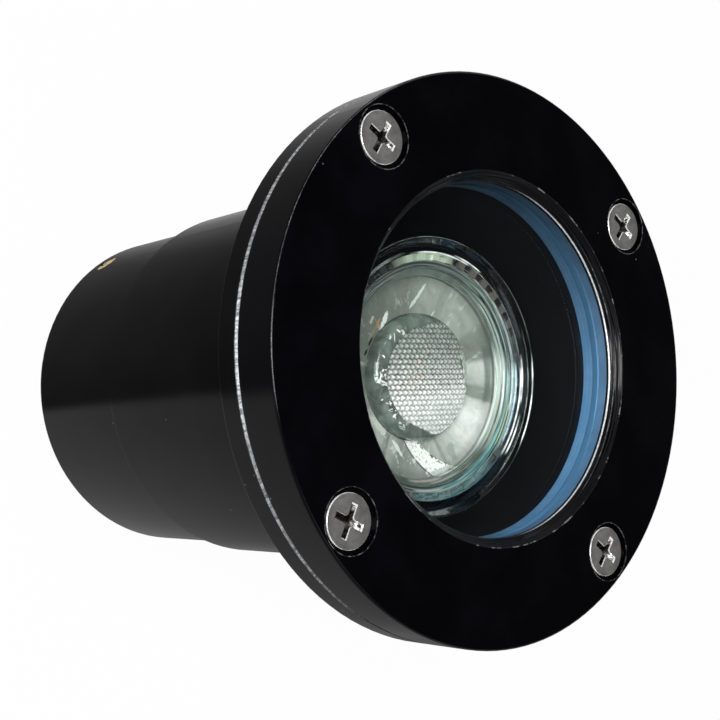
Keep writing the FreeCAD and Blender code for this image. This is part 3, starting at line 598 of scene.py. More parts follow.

# Edges rubbed bare, as the edge function takes them; a painted highlight where each faces its
# heading
RING_EDGES = (
    (FACE_RADIUS - 0.12, FACE_Z - 0.12, 0.08, 0.22, 0.6, 20, 0.7, 0.88),
    (CHAMFER_RADIUS, FACE_Z, 0.13, 0.3, 0.97, FAR_SIDE, -1.0, -0.9),
    (THROAT_RADIUS, FACE_Z - CHAMFER_DEPTH, 0.18, 1.0, 0.1, FAR_SIDE, 0.1, 0.6),
    (THROAT_RADIUS, FACE_Z - CHAMFER_DEPTH, 0.08, 0.1, 0.6, NEAR_SIDE, -1.0, -0.9),
    (THROAT_RADIUS + 0.55, FACE_Z - CHAMFER_DEPTH + 0.7, 0.09, 0.2, 0.7, FAR_SIDE, 0.6, 0.9),
    (FACE_RADIUS, FLANGE_TOP + 0.3, 0.1, 0.12, 0.5, NEAR_SIDE, 0.2, 0.7),
)
FLANGE_EDGES = (
    (FACE_RADIUS - 0.2, FLANGE_TOP - 0.2, 0.5, 1.0, 0.2, NEAR_SIDE, 0.2, 0.75),
    (FACE_RADIUS - 0.22, FLANGE_TOP - 0.15, 0.12, 0.6, 0.15, NEAR_SIDE, -1.0, -0.9),
    (FACE_RADIUS - 0.1, 0.12, 0.1, 0.35, 0.6, NEAR_SIDE, 0.0, 0.6),
    (FRONT_BARREL_RADIUS - 0.1, STEP_Z + 0.1, 0.1, 0.3, 0.7, NEAR_SIDE, -0.2, 0.6),
)
RING_BLACK = (0.0008, 0.0008, 0.0014)
CAN_BLACK = (0.001, 0.001, 0.0014)
PLUG_BLACK = (0.0035, 0.0035, 0.004)
ring_coat = black_coat("ring_coat", RING_BLACK, 0.15, RING_EDGES, BRIGHT_METAL, 0.06, ring=True)
dress("face_ring", ring_coat)
can_coat = black_coat(
    "can_coat", CAN_BLACK, 0.16, FLANGE_EDGES, specks=0.08, inside=CAN_PAINT_RADIUS
)
dress("housing", can_coat)
dress("end_plug", black_coat("plug_coat", PLUG_BLACK, 0.3))

dress("lens", clear_glass("lens_glass", (0.97, 0.99, 0.985)))


# Painted highlights, light caught along the rim of the lamp's cup: radius, z, width, strength,
# heading, two cosines
RIM_LIGHTS = (
    (LAMP_RADIUS - 0.5, RIM_Z - 0.05, 0.2, 0.8, 222, 0.94, 0.975),
    (LAMP_RADIUS, RIM_Z - 0.4, 0.18, 1.0, 221, 0.88, 0.97),
    (LAMP_RADIUS, RIM_Z - 0.4, 0.17, 0.4, 295, 0.5, 0.8),
    (RIM_LEDGE_RADIUS + 0.3, DISH_Z + 0.3, 0.14, 0.2, 215, 0.7, 0.95),
    (RIM_LEDGE_RADIUS - 0.6, DISH_Z, 0.24, 0.9, 206, 0.98, 0.995),
    (RIM_LEDGE_RADIUS - 1.0, DISH_Z, 0.26, 1.0, 233, 0.975, 0.993),
    (RIM_LEDGE_RADIUS - 1.1, DISH_Z, 0.16, 0.7, 301, 0.985, 0.997),
    (RIM_LEDGE_RADIUS - 1.2, DISH_Z, 0.3, 0.25, 0, 0.93, 0.99),
    (DISH_RADIUS + 0.1, DISH_Z, 0.22, 0.75, 318, 0.93, 0.985),
    (DISH_RADIUS + 0.1, DISH_Z, 0.14, 0.2, 260, 0.3, 0.8),
    (DISH_RADIUS + 0.15, DISH_Z, 0.28, 1.0, 217, 0.9, 0.97),
)


def make_cup_glass():
    """Clear pressed glass of the lamp's cup, with light caught along the edges of its rim, painted
    as highlights.
    """
    glass = Finish("lamp_glass", Transmission_Weight=1.0, IOR=1.5, Specular_IOR_Level=0.08)
    glass.follow_lamp()
    swirl = glass.noise(160, detail=4, distortion=1.5)
    patches = glass.ramp(glass.noise(260, detail=3), 0.35, 0.6, 0.35, 1.0)
    # Painted highlights along the rim's edges, by heading
    caught = glass.product(glass.near_ring(LAMP_RADIUS, RIM_Z - 0.4, 0.16), 0.22)
    for radius, z, width, strength, heading, low, high in RIM_LIGHTS:
        along = glass.near_ring(radius, z, width)
        line = glass.product(along, glass.facing(heading, low, high), strength)
        caught = glass.largest(caught, line)
    caught = glass.product(caught, patches)
    tint = glass.mix(swirl, (0.75, 0.9, 0.85), (0.92, 0.98, 0.96))
    glass.set(Base_Color=glass.mix(caught, tint, (0.93, 0.95, 0.96)))
    glass.set(Transmission_Weight=glass.minus(1.0, caught))
    glass.set(Roughness=glass.ramp(swirl, 0.45, 0.8, 0.02, 0.08))
    glass.bump((swirl, 0.015))
    glass.lets_lamps_through((0.8, 0.93, 0.88))
    return glass


dress("lamp_cup", make_cup_glass())


def make_silicone():
    """Blue silicone, with painted shade towards the top, and painted light behind the glass, where
    it is less lit.
    """
    rubber = Finish("blue_silicone")
    radius = rubber.place()[3]
    cloud = rubber.noise(220, detail=3)
    fine = rubber.noise(1100, detail=4)
    blue = rubber.mix(rubber.ramp(cloud, 0.3, 0.7), (0.055, 0.15, 0.28), (0.078, 0.185, 0.325))
    # Painted light: paler behind the glass, where it is less lit
    painted_light_behind_glass = rubber.ramp(radius, GASKET_INNER_RADIUS + 0.05, GASKET_INNER_RADIUS + 0.3)
    blue = rubber.mix(painted_light_behind_glass, blue, (0.1, 0.26, 0.45))
    # Painted shade: darker towards the top
    shade = rubber.product(rubber.facing(320, -0.3, 1.15), 0.75)
    rubber.set(Base_Color=rubber.mix(shade, blue, (0.005, 0.008, 0.01)))
    rubber.set(Roughness=rubber.times_plus(fine, 0.16, 0.36))
    rubber.bump((fine, 0.01))
    return rubber


dress("lens_gasket", make_silicone())


# Painted reflections: brightness of the lamp's facets round its axis: heading, grey
FACET_REFLECTION_GREYS = (
    (4, 0.22), (36, 0.2), (65, 0.25), (93, 0.7), (108, 0.55), (114, 0.25), (116, 0.55),
    (127, 0.3), (139, 0.35), (141, 0.38), (151, 0.36), (153, 0.35), (164, 0.5), (167, 0.3),
    (169, 0.45), (192, 0.75), (206, 0.88), (217.5, 0.6), (219.5, 0.3), (227, 0.28), (230, 0.48),
    (244, 0.6), (247, 0.24), (256, 0.2), (266, 0.24), (269, 0.33), (294, 0.37), (303, 0.28),
    (305, 0.33), (319, 0.34), (332, 0.22), (346, 0.22),
)
# Painted reflections, arcs of light and dark down the lamp's steps: distance from the outer edge,
# width, heading, two cosines, colour
STEP_ARCS = (
    (1.9, 0.45, 268, 0.86, 0.95, (0.36, 0.44, 0.42)),
    (2.65, 0.3, 272, 0.8, 0.93, (0.07, 0.1, 0.12)),
    (3.1, 0.25, 272, 0.85, 0.95, (0.18, 0.24, 0.15)),
    (3.65, 0.35, 266, 0.9, 0.97, (0.015, 0.022, 0.026)),
    (4.4, 0.35, 264, 0.9, 0.97, (0.33, 0.4, 0.38)),
    (5.25, 0.3, 260, 0.9, 0.97, (0.38, 0.45, 0.42)),
    (2.2, 0.5, 320, 0.8, 0.93, (0.22, 0.26, 0.24)),
    (2.9, 0.3, 325, 0.8, 0.93, (0.04, 0.05, 0.05)),
    (0.45, 0.3, 220, 0.9, 0.97, (0.004, 0.006, 0.008)),
    (1.1, 0.35, 220, 0.92, 0.97, (0.6, 0.78, 0.88)),
    (1.75, 0.35, 220, 0.88, 0.96, (0.34, 0.44, 0.43)),
    (2.12, 0.22, 229, 0.97, 0.99, (0.72, 0.82, 0.8)),
    (2.5, 0.2, 209, 0.97, 0.99, (0.42, 0.46, 0.2)),
    (2.76, 0.25, 222, 0.9, 0.97, (0.1, 0.18, 0.19)),
    (3.25, 0.36, 213, 0.88, 0.96, (0.22, 0.46, 0.43)),
    (3.85, 0.28, 222, 0.9, 0.97, (0.06, 0.09, 0.09)),
    (4.35, 0.34, 230, 0.95, 0.99, (0.62, 0.7, 0.68)),
    (4.95, 0.3, 212, 0.85, 0.95, (0.09, 0.12, 0.115)),
    (5.7, 0.5, 222, 0.85, 0.96, (0.4, 0.46, 0.43)),
    (6.5, 0.5, 222, 0.82, 0.95, (0.72, 0.8, 0.75)),
    (2.6, 0.3, 160, 0.97, 0.99, (0.26, 0.33, 0.32)),
    (3.0, 0.25, 144, 0.98, 0.995, (0.36, 0.4, 0.36)),
    (3.3, 0.25, 176, 0.97, 0.99, (0.17, 0.33, 0.33)),
    (3.6, 0.2, 158, 0.97, 0.99, (0.03, 0.05, 0.05)),
    (5.35, 0.25, 160, 0.97, 0.99, (0.26, 0.28, 0.25)),
    (5.9, 0.3, 145, 0.97, 0.99, (0.34, 0.31, 0.28)),
)
# Painted reflections on the facets, light and dark: x, y, heading, half length, half width, colour
REFLECTION_PATCHES = (
    (11.9, -8.9, -71.0, 3.0, 0.38, (0.62, 0.72, 0.65)),
    (12.7, -0.1, -59, 1.9, 0.55, (0.95, 1.0, 0.96)),
    (13.27, 1.39, -63, 1.15, 0.3, (0.66, 0.24, 0.04)),
    (14.5, 2.6, -63, 0.9, 0.4, (0.5, 0.55, 0.5)),
    (12.3, 3.9, -71, 1.5, 0.4, (0.32, 0.25, 0.2)),
    (11.4, 4.7, -71, 0.9, 0.3, (0.02, 0.008, 0.008)),
    (10.4, 6.8, -71, 0.7, 0.25, (0.02, 0.008, 0.008)),
    (-2.4, 12.3, 189, 2.4, 0.75, (0.8, 0.84, 0.76)),
    (-7.9, 11.3, 178, 1.9, 0.4, (0.85, 0.92, 0.86)),
    (-16.2, 1.5, 160, 2.0, 1.0, (0.3, 0.36, 0.32)),
    (6.8, -9.8, -75, 1.6, 0.22, (0.55, 0.62, 0.56)),
)


# The speckled white wedge low on the facets, a painted reflection: the headings of its two sides at
# the bead lens, and how far both turn on the way out to the steps
WEDGE_LEFT, WEDGE_LEFT_TURN = 131.3, 23.0
WEDGE_RIGHT, WEDGE_RIGHT_TURN = 147.0, 24.0


def patches_of_light(glass, facets):
    """Adds the ragged patches of painted reflected light and shade, which are ellipses."""
    ragged = glass.ramp(glass.noise(900, detail=4), 0.3, 0.7, -0.3, 0.3)
    for x, y, heading, length, width, light in REFLECTION_PATCHES:
        centre = Matrix.Rotation(math.radians(-heading), 2) @ Vector((x, y))
        far = glass.math("DIVIDE", glass.minus(glass.along(heading), centre.x), length)
        wide = glass.math("DIVIDE", glass.minus(glass.along(heading + 90), centre.y), width)
        spot = glass.ramp(glass.plus(glass.length(far, wide), ragged), 0.7, 1.1, 0.9, 0.0)
        facets = glass.mix(spot, facets, light)
    return facets


def wedge_of_light(glass, facets):
    """Adds the speckled wedge of painted reflected light between two dark painted lines, and short
    painted glints round it.
    """
    radius = glass.place()[3]
    degrees = glass.product(glass.angle(), 360.0)
    outwards = glass.math(
        "DIVIDE", glass.minus(radius, BEAD_LENS_RADIUS), FACET_RADIUS - BEAD_LENS_RADIUS
    )
    left = glass.minus(degrees, glass.times_plus(outwards, WEDGE_LEFT_TURN, WEDGE_LEFT))
    right = glass.minus(degrees, glass.times_plus(outwards, WEDGE_RIGHT_TURN, WEDGE_RIGHT))
    inside = glass.product(
        glass.ramp(radius, 17.6, 18.2, 1.0, 0.4),
        glass.ramp(left, 0.0, 0.8),
        glass.ramp(right, -0.8, 0.0, 1.0, 0.0),
    )
    fine = glass.ramp(glass.streaks(150.0, radius, 1.6), 0.5, 0.62)
    white = glass.mix(glass.product(fine, 0.6), (0.95, 1.0, 0.95), (0.2, 0.23, 0.17))
    facets = glass.mix(inside, facets, white)
    broken_line = glass.product(glass.near(right, -1.2, 1.8), glass.ramp(fine, 0.1, 0.5))
    edges = glass.largest(glass.near(left, -0.6, 0.8), broken_line)
    edges = glass.product(edges, glass.within(degrees, 128.0, 172.0, 1.0), 0.85)
    facets = glass.mix(edges, facets, (0.04, 0.05, 0.035))
    # Painted glints round the wedge, towards heading 136
    glints = glass.ramp(glass.streaks(50.0, radius, 0.3, detail=5.0), 0.57, 0.63, 0.0, 0.6)
    glints = glass.product(glints, glass.facing(136, 0.9, 0.95), glass.minus(1.0, inside))
    return glass.mix(glints, facets, (0.85, 0.92, 0.86))


def facet_colour(glass, cloud, radial):
    """The facets' greys, painted reflections, mottled and streaked, with their painted patches, a
    border darkened with painted shade, and the wedge.
    """
    radius = glass.place()[3]
    greys = []
    for degrees, grey in FACET_REFLECTION_GREYS:
        tint = 0.84 + 0.14 * grey
        greys.append((degrees / 360, (grey * tint, grey, grey * tint)))
    facets = glass.bands(glass.angle(), *greys)
    facets = glass.mix(glass.ramp(cloud, 0.35, 0.75, 0.0, 0.3), facets, (0.08, 0.1, 0.085))
    facets = glass.mix(glass.ramp(radial, 0.55, 0.7, 0.0, 0.35), facets, (0.75, 0.86, 0.76))
    facets = patches_of_light(glass, facets)
    # Painted shade: darker towards the facets' outer border, more towards heading 236
    shaded = glass.product(glass.ramp(radius, 16.6, 17.4), glass.facing(236, 0.93, 0.97), 0.75)
    border = glass.largest(glass.ramp(radius, 16.6, 18.3, 0.0, 0.4), shaded)
    facets = glass.mix(border, facets, (0.09, 0.115, 0.1))
    return wedge_of_light(glass, facets)


def notch_colour(glass, down):
    """Painted shade in the notches between lighter teeth; by heading, a painted pale green
    reflection for a stretch at the top, painted shade on two sides and a painted teal reflection
    low down.
    """
    tooth = glass.math("FRACT", glass.product(glass.angle(), float(NOTCH_COUNT)))
    notch = glass.ramp(glass.math("ABSOLUTE", glass.minus(tooth, 0.5)), 0.22, 0.3)
    band = glass.mix(notch, (0.1, 0.095, 0.085), (0.02, 0.018, 0.016))
    green = glass.mix(notch, (0.38, 0.46, 0.36), (0.3, 0.37, 0.28))
    # By heading: painted reflection pale green at the top, painted shade towards 30 and 205, teal
    # towards 158
    band = glass.mix(glass.facing(329.5, 0.924, 0.983), band, green)
    band = glass.mix(glass.product(glass.facing(30, 0.6, 0.92), 0.9), band, (0.02, 0.025, 0.025))
    band = glass.mix(glass.facing(205, 0.45, 0.75), band, (0.05, 0.06, 0.06))
    share = glass.ramp(glass.streaks(30.0, down, 2.0), 0.4, 0.6)
    low_band = glass.mix(share, (0.04, 0.09, 0.095), (0.13, 0.2, 0.2))
    return glass.mix(glass.facing(158, 0.85, 0.93), band, low_band)


def make_dish_glass():
    """Pressed glass front of the lamp, its light and shade painted on: a notched ring, thin bright
    steps and pale facets.
    """
    glass = Finish("dish_glass", Metallic=0.2, Coat_Weight=0.7, Coat_Roughness=0.03, IOR=1.5)
    glass.follow_lamp()
    z, radius = glass.place()[2:]
    down = glass.minus(DISH_RADIUS + DISH_Z, glass.plus(radius, z))
    radial = glass.streaks(70.0, radius, 0.25)
    rings = glass.streaks(9.0, down, 4.0)
    cloud = glass.noise(230, detail=5, distortion=1.2)

    # From the facets outwards: a smooth border, the steps, and the notched ring
    smooth = glass.mix(glass.ramp(cloud, 0.3, 0.7), (0.08, 0.105, 0.09), (0.13, 0.165, 0.145))
    # Painted reflection: the smooth border is lighter towards heading 220
    smooth = glass.mix(glass.facing(220, 0.82, 0.97), smooth, (0.34, 0.4, 0.35))
    steps = glass.mix(glass.ramp(rings, 0.42, 0.58), (0.03, 0.04, 0.042), (0.17, 0.21, 0.2))
    teal = glass.mix(glass.ramp(rings, 0.4, 0.6), (0.03, 0.1, 0.11), (0.12, 0.34, 0.33))
    # Painted reflection: the steps turn teal towards heading 182
    steps = glass.mix(glass.product(glass.facing(182, 0.8, 0.95), 0.85), steps, teal)
    colour = facet_colour(glass, cloud, radial)
    step_start, notch_start = FACET_RADIUS + DISH_STEP_WIDTH, DISH_RADIUS - DISH_STEP_WIDTH
    for low, high, outer in (
        (FACET_RADIUS, FACET_RADIUS + 0.12, smooth),
        (step_start, step_start + 0.15, steps),
        (notch_start - 0.1, notch_start, notch_colour(glass, down)),
    ):
        colour = glass.mix(glass.ramp(radius, low, high), colour, outer)

    # Painted shade and light on the steps: one dark line inside them, broad arcs, then fine hair
    # lines
    dark_line = glass.near_ring(FACET_RADIUS + 0.05, FACET_BORDER_Z, 0.5)
    colour = glass.mix(glass.product(dark_line, 0.5), colour, (0.05, 0.065, 0.06))
    broken = glass.ramp(glass.streaks(16.0, down, 0.8), 0.35, 0.5, 0.3, 1.0)
    for place, width, heading, cosine_low, cosine_high, light in STEP_ARCS:
        facing = glass.facing(heading, cosine_low, cosine_high)
        line = glass.product(glass.near(down, place, width), facing, broken)
        colour = glass.mix(line, colour, light)
    hair = glass.streaks(13.0, down, 6.5, detail=2.0)
    on_steps = glass.product(
        glass.ramp(radius, FACET_RADIUS, FACET_RADIUS + 0.2),
        glass.ramp(down, 0.9, 1.3),
        glass.largest(glass.facing(232, 0.1, 0.6), glass.facing(20, 0.75, 0.93)),
    )
    dark_hair = glass.product(glass.ramp(hair, 0.36, 0.46, 0.6, 0.0), on_steps)
    light_hair = glass.product(glass.ramp(hair, 0.56, 0.66, 0.0, 0.5), on_steps)
    colour = glass.mix(dark_hair, colour, (0.02, 0.04, 0.045))
    colour = glass.mix(light_hair, colour, (0.75, 0.88, 0.84))
    glass.set(Base_Color=colour)
    glass.set(Roughness=glass.times_plus(radial, 0.25, 0.08))
    glass.bump((radial, 0.1), (cloud, 0.1))
    return glass


dress("lamp_dish", make_dish_glass())

bare_aluminium = turned_metal("bare_aluminium", (0.5, 0.5, 0.51), (0.66, 0.66, 0.68), 0.32)
zinc_steel = turned_metal("zinc_steel", (0.38, 0.39, 0.41), (0.56, 0.57, 0.6), 0.34)
pin_metal = turned_metal("pin_metal", (0.5, 0.48, 0.45), (0.64, 0.62, 0.58), 0.22)
brass = turned_metal("brass", (1.0, 0.74, 0.34), (1.0, 0.93, 0.66), 0.4, metallic=0.4)
contact_brass = turned_metal("contact_brass", (0.5, 0.36, 0.15), (0.7, 0.52, 0.24), 0.3)
circuit_board = moulded("circuit_board", (0.015, 0.10, 0.04), (0.03, 0.16, 0.07), 0.35)
phosphor = moulded("phosphor", (0.85, 0.48, 0.06), (0.95, 0.62, 0.12), 0.3)
ceramic = moulded("white_ceramic", (0.70, 0.69, 0.66), (0.80, 0.79, 0.76), 0.3, depth=0.006)
lead_sleeve = moulded("lead_sleeve", (0.62, 0.61, 0.57), (0.72, 0.71, 0.67), 0.55)
splice_sleeve = moulded("splice_sleeve", (0.42, 0.03, 0.025), (0.55, 0.06, 0.04), 0.4)
rubber = moulded("black_rubber", (0.008, 0.008, 0.008), (0.016, 0.016, 0.016), 0.75, depth=0.02)
nylon = moulded("gland_nylon", (0.008, 0.008, 0.009), (0.015, 0.015, 0.016), 0.5, depth=0.02)

for node_name, finish in {
    "led_chip": phosphor,
    "lamp_board": bare_aluminium,
    "heat_slug": bare_aluminium,
    "lamp_driver": circuit_board,
    "lamp_base": ceramic,
    "lamp_pins": pin_metal,
    "socket_body": ceramic,
    "socket_contacts": contact_brass,
    "socket_strap": zinc_steel,
    "socket_screws": zinc_steel,
    "strap_screws": zinc_steel,
    "socket_leads": lead_sleeve,
    "splices": splice_sleeve,
    "plug_o_ring": rubber,
    "lock_screw": brass,
    "gland_body": nylon,
    "gland_washer": rubber,
    "gland_locknut": nylon,
    "gland_seal": rubber,
    "gland_nut": nylon,
}.items():
    dress(node_name, finish)

# ---------------------------------------------------------------- Face screws

CROSS_REACH = 2.95
CROSS_HALF_WIDTH = 0.6
CROSS_DEPTH = 1.7
# Colour of the painted highlights on the screws' edges and arm ends
HIGHLIGHT_WHITE = (0.95, 0.95, 0.93)
# How far each screw's cross is turned, by the heading of the screw
SCREW_TURNS = {0: 21, -90: 15, 90: 28, 180: 16}


def make_stainless():
    """Brushed stainless head: rings round the screw's own axis, edges with a painted highlight, and
    a recess darkened with painted shade, with painted highlights at the arms' ends.
    """
    steel = Finish("stainless")
    z, radius = steel.place()[2:]
    rings = steel.noise(5.0, detail=7, roughness=0.75, vector=steel.vector(radius))
    cloud = steel.noise(420, detail=4)
    tone = steel.times_plus(rings, 0.5, steel.product(cloud, 0.5))
    plain = steel.mix(steel.ramp(tone, 0.3, 0.7), (0.34, 0.335, 0.32), (0.74, 0.73, 0.7))
    # Painted highlight along the head's rim and the cross's edges
    rim = steel.product(steel.within(z, -0.26, -0.03, 0.03), steel.ramp(cloud, 0.35, 0.5, 0.4, 1.0))
    plain = steel.mix(rim, plain, HIGHLIGHT_WHITE)
    within_cross = steel.ramp(radius, 3.3, 3.5, 1.0, 0.0)
    # Painted shade on the floor of the cross's recess
    deep = steel.product(steel.within(z, -CROSS_DEPTH - 0.01, -0.34, 0.06), within_cross)
    floor = steel.mix(steel.ramp(cloud, 0.5, 0.65), (0.02, 0.02, 0.019), (0.3, 0.28, 0.26))
    # Painted highlights at the arms' ends, towards heading 235
    arm_end_glint = steel.product(steel.facing(235, 0.3, 0.7), steel.ramp(radius, 1.8, 2.3))
    floor = steel.mix(steel.product(arm_end_glint, steel.ramp(cloud, 0.4, 0.5)), floor, HIGHLIGHT_WHITE)
    steel.set(Base_Color=steel.mix(deep, plain, floor))
    steel.set(Metallic=steel.times_plus(rim, -0.7, 0.85))
    steel.set(Roughness=steel.times_plus(rings, 0.2, 0.22))
    steel.bump((rings, 0.02), (cloud, 0.006))
    return steel


# Radius and height of a screw's corners, from its tip to its top
SCREW_PROFILE = (
    (0, -13.2), (2.0, -13.2), (2.44, -12.7), (2.44, -2.45), (SCREW_HEAD_RADIUS, -0.4),
    (SCREW_HEAD_RADIUS, -0.12), (SCREW_HEAD_RADIUS - 0.12, 0), (0, 0),
)
SCREW_SEGMENTS = 72
SCREW_EDGE = 0.11


def cross_outline(reach, half_width, corner, depth):
    """Corners of a cross, with its inner corners rounded, at a depth below the head's top."""
    points = []
    for quarter in range(4):
        turn = Matrix.Rotation(quarter * math.pi / 2, 2)
        centre = half_width + corner
        points.append(turn @ Vector((reach, half_width)))
        for step in range(5):
            swing = math.pi * (1.5 - step / 8)
            inner = Vector((centre + corner * math.cos(swing), centre + corner * math.sin(swing)))
            points.append(turn @ inner)
        points.append(turn @ Vector((half_width, reach)))
    return [Vector((x, y, -depth)) * MM for x, y in points]


def cross_cutter():
    """Tapered cross: its arms run out towards the head's top, and its middle is deepest."""
    made = bmesh.new()
    levels = (
        (CROSS_REACH + 0.35, CROSS_HALF_WIDTH + 0.06, 0.5, -0.4),
        (CROSS_REACH - 0.3, CROSS_HALF_WIDTH - 0.06, 0.42, 0.45),
        (1.3, CROSS_HALF_WIDTH - 0.2, 0.25, CROSS_DEPTH),
    )
    rows = [[made.verts.new(p) for p in cross_outline(*level)] for level in levels]
    for low, high in zip(rows, rows[1:]):
        for i in range(len(low)):
            j = (i + 1) % len(low)
            made.faces.new((low[i], low[j], high[j], high[i]))
    made.faces.new(rows[0])
    made.faces.new(rows[-1])
    return bpy.data.objects.new("cross", finished(made, "cross"))


def make_face_screws():
    """The four screws that take the place of the CAD's, each with its cross cut in."""
    stainless = make_stainless()
    mesh = turned_mesh("face_screw", SCREW_PROFILE, SCREW_SEGMENTS)
    cutter = cross_cutter()
    bpy.context.scene.collection.objects.link(cutter)
    for place_angle, recess_turn in SCREW_TURNS.items():
        name = f"face_screw_{place_angle % 360}"
        piece = bpy.data.objects.new(name, mesh.copy())
        bpy.context.scene.collection.objects.link(piece)
        piece.data.materials.append(stainless.material)
        cut = piece.modifiers.new("cross", "BOOLEAN")
        cut.object = cutter
        cut.operation = "DIFFERENCE"
        cut.solver = "EXACT"
        soft = piece.modifiers.new("edges", "BEVEL")
        soft.width = SCREW_EDGE * MM
        soft.segments = 2
        soft.limit_method = "ANGLE"
        soft.angle_limit = math.radians(30)
        modified(piece)
        piece.data.polygons.foreach_set("use_smooth", [False] * len(piece.data.polygons))
        piece.data.transform(Matrix.Rotation(math.radians(recess_turn), 4, "Z"))
        turn = math.radians(place_angle)
        piece.location = Vector((math.cos(turn), math.sin(turn), 0)) * SCREW_CIRCLE_RADIUS * MM
        piece.location.z = SCREW_TOP * MM
        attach(piece, "face_screws")
        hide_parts("face_screws")
    bpy.data.objects.remove(cutter)


make_face_screws()

# ---------------------------------------------------------------- Bead lens

BEAD_PITCH = 1.09
BEAD_HEIGHT = 0.3
BEAD_ROWS_HEADING = 54.7
BEAD_WAVES = [
    Vector((math.cos(turn), math.sin(turn))) * (4 * math.pi / (math.sqrt(3) * BEAD_PITCH))
    for turn in (math.radians(BEAD_ROWS_HEADING + offset) for offset in (90, 30, -30))
]

# The beads end at the first radius on the near side, and at the second towards the far side
BEADED_NEAR, BEADED_FAR = 9.2, 11.3
# Where the chip shows through the beads: x, y
CHIP_SEEN = (2.2, 1.9)

# Radius and height of the lens's corners under its rim, down to the pocket for the chip
BEAD_LENS_BELOW = (
    (BEAD_LENS_RADIUS, BEAD_LENS_Z - 2.6), (5.5, -17.85), (4.3, -17.85), (4.3, -16.95),
)
BEAD_LENS_RINGS, BEAD_LENS_SEGMENTS = 124, 420


def bead_field(x, y):
    """0 between beads and 1 on a bead's top, in a hexagonal pattern, for arrays of x and y."""
    total = sum(np.cos(wave.x * x + wave.y * y) for wave in BEAD_WAVES)
    return (total + 1.5) / 4.5


def bead_pattern(glass):
    """0 between beads to 1 on them: the beads' own waves, blurred by slanting ones and noise."""
    x, y = glass.place()[:2]
    phases = [glass.times_plus(y, wave.y, glass.product(x, wave.x)) for wave in BEAD_WAVES]
    slants = [
        glass.plus(glass.plus(phases[0], phases[1]), 1.0),
        glass.minus(glass.minus(phases[0], phases[2]), 0.8),
    ]
    total = glass.times_plus(glass.noise(1500, detail=3, roughness=0.7), 4.0, -2.0)
    for phase, strength in zip(phases + slants, (1.0, 0.55, 0.5, 0.45, 0.4)):
        total = glass.times_plus(glass.math("COSINE", phase), strength, total)
    return glass.ramp(total, -1.7, 1.7, smooth=False)


def bead_colour(glass):
    """Painted highlights on the beads and painted shade between them, brighter low down as painted
    light, with the chip's orange dots where it shows through.
    """
    x, y = glass.place()[:2]
    height = glass.along(150)
    # Painted light: brighter low down, on the beads and between them
    low = glass.ramp(height, -6.5, 4.0)
    # Painted shade: darker between the beads across the middle
    middle = glass.within(height, -3.0, 1.0, 4.0)
    lit_tops = glass.mix(low, (0.42, 0.48, 0.43), (1.0, 1.0, 0.98))
    shaded_gaps = glass.mix(low, (0.09, 0.105, 0.09), (0.34, 0.38, 0.34))
    shaded_gaps = glass.mix(glass.product(middle, 0.85), shaded_gaps, (0.06, 0.068, 0.06))
    beads = glass.mix(bead_pattern(glass), shaded_gaps, lit_tops)
    from_chip = glass.length(glass.minus(x, CHIP_SEEN[0]), glass.minus(y, CHIP_SEEN[1]))
    dots = glass.ramp(glass.cells(1100), 0.2, 0.34, 1.0, 0.0)
    orange = glass.product(glass.ramp(from_chip, 1.4, 3.2, 1.0, 0.0), dots, 0.7)
    beads = glass.mix(orange, beads, (0.7, 0.36, 0.07))
    # Uneven darker patches at random, stronger higher up, where the painted light is dimmer
    uneven = glass.ramp(glass.noise(700, detail=2), 0.3, 0.7, 0.35, 0.0)
    uneven = glass.product(uneven, glass.ramp(height, -5.0, 3.0, 1.0, 0.4))
    return glass.mix(uneven, beads, (0.1, 0.12, 0.1))


def shoulder_colour(glass, radius, cloudy, flat):
    """The plain shoulder, with painted glints near the beads, a flat made lighter with painted
    light, and a painted highlight line on it.
    """
    plain = glass.mix(cloudy, (0.09, 0.115, 0.1), (0.19, 0.24, 0.205))
    # Painted glints near the beads, towards heading 55
    glints = glass.product(
        glass.within(radius, BEADED_NEAR - 0.2, BEADED_NEAR + 1.5, 0.4),
        glass.facing(55, 0.4, 0.6),
        glass.ramp(glass.noise(420, detail=4, distortion=2.0), 0.56, 0.6),
    )
    plain = glass.mix(glints, plain, (0.95, 0.97, 0.95))
    # Painted light: the flat on the shoulder is lighter
    lighter = glass.product(glass.ramp(radius, 10.1, 10.3), flat)
    plain = glass.mix(lighter, plain, (0.4, 0.47, 0.41))
    # Painted highlight: a pale line towards heading 248
    rim_highlight = glass.product(glass.near(radius, 10.0, 0.22), glass.facing(248, 0.8, 0.9))
    return glass.mix(rim_highlight, plain, (0.62, 0.68, 0.62))


def make_bead_glass():
    """Beaded lens, bright low down with painted light, with a plain shoulder and orange dots from
    the chip.
    """
    glass = Finish("bead_glass", Metallic=0.3, IOR=1.5, Coat_Roughness=0.03)
    glass.follow_lamp()
    radius = glass.place()[3]
    cloud = glass.noise(300, detail=4, distortion=1.0)
    cloudy = glass.ramp(cloud, 0.3, 0.7)
    flat = glass.facing(243, 0.93, 0.98)
    far = glass.product(glass.facing(FAR_SIDE, -0.2, 0.5), glass.times_plus(flat, -0.9, 1.0))
    edge = glass.times_plus(far, BEADED_FAR - BEADED_NEAR, BEADED_NEAR)
    edge = glass.times_plus(cloud, 1.2, glass.minus(edge, 0.6))
    beaded = glass.ramp(glass.minus(radius, edge), -0.1, 0.15, 1.0, 0.0)
    shoulder = shoulder_colour(glass, radius, cloudy, flat)
    glass.set(Base_Color=glass.mix(beaded, shoulder, bead_colour(glass)))
    glass.set(Roughness=glass.ramp(cloud, 0.3, 0.8, 0.06, 0.18))
    glossy = glass.ramp(glass.noise(600, detail=4), 0.48, 0.56, 0.05, 0.6)
    glass.set(Coat_Weight=glass.largest(glass.product(beaded, 0.5), glossy))
    rough = glass.product(glass.noise(420, detail=3, distortion=1.0), glass.minus(1.0, beaded))
    glass.bump((glass.noise(1700, detail=2), 0.015), (rough, 0.35))
    return glass


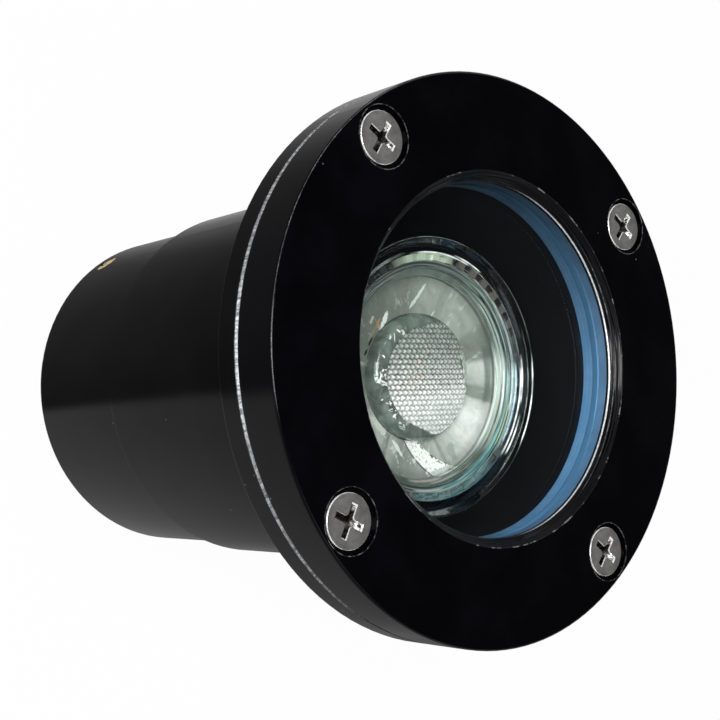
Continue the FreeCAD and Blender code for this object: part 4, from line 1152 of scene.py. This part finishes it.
def make_bead_lens():
    """Raised lens: a rounded plain shoulder, a beaded top, and the conical body below."""
    segments = BEAD_LENS_SEGMENTS
    made = bmesh.new()
    turns = np.arange(segments) * math.tau / segments
    far = np.clip((np.cos(turns - math.radians(FAR_SIDE)) + 0.2) / 0.7, 0, 1)
    beaded_edge = BEADED_NEAR + (BEADED_FAR - BEADED_NEAR) * far
    dome_radius = (BEAD_FACE_RADIUS ** 2 + BEAD_FACE_DOME ** 2) / (2 * BEAD_FACE_DOME)
    shoulder_width = BEAD_LENS_RADIUS - BEAD_FACE_RADIUS
    shoulder_rise = BEAD_FACE_Z - BEAD_LENS_Z
    rows = []
    for radius in np.linspace(0, BEAD_LENS_RADIUS, BEAD_LENS_RINGS + 1)[1:]:
        x, y = radius * np.cos(turns), radius * np.sin(turns)
        if radius <= BEAD_FACE_RADIUS:
            drop = dome_radius - math.sqrt(dome_radius ** 2 - radius ** 2)
            height = BEAD_FACE_Z + BEAD_FACE_DOME - drop
        else:
            share = (radius - BEAD_FACE_RADIUS) / shoulder_width
            height = BEAD_LENS_Z + shoulder_rise * math.sqrt(max(0, 1 - share ** 2))
        beaded = np.clip((beaded_edge - radius) * 3, 0, 1)
        z = height - BEAD_HEIGHT * (1 - bead_field(x, y)) * beaded
        rows.append([made.verts.new(Vector(p) * MM) for p in zip(x, y, z)])
    top = made.verts.new(Vector((0, 0, BEAD_FACE_Z + BEAD_FACE_DOME)) * MM)
    for i in range(segments):
        made.faces.new((top, rows[0][i], rows[0][(i + 1) % segments]))
    for radius, z in BEAD_LENS_BELOW:
        ring = np.stack([radius * np.cos(turns), radius * np.sin(turns), np.full(segments, z)], 1)
        rows.append([made.verts.new(Vector(p) * MM) for p in ring])
    for low, high in zip(rows, rows[1:]):
        for i in range(segments):
            j = (i + 1) % segments
            made.faces.new((low[i], high[i], high[j], low[j]))
    pocket = made.verts.new(Vector((0, 0, BEAD_LENS_BELOW[-1][1])) * MM)
    for i in range(segments):
        made.faces.new((pocket, rows[-1][(i + 1) % segments], rows[-1][i]))
    mesh = finished(made, "bead_lens_beads")
    mesh.transform(lean_matrix())
    piece = object_from("bead_lens_beads", mesh, "lamp", make_bead_glass())
    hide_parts("bead_lens")


make_bead_lens()
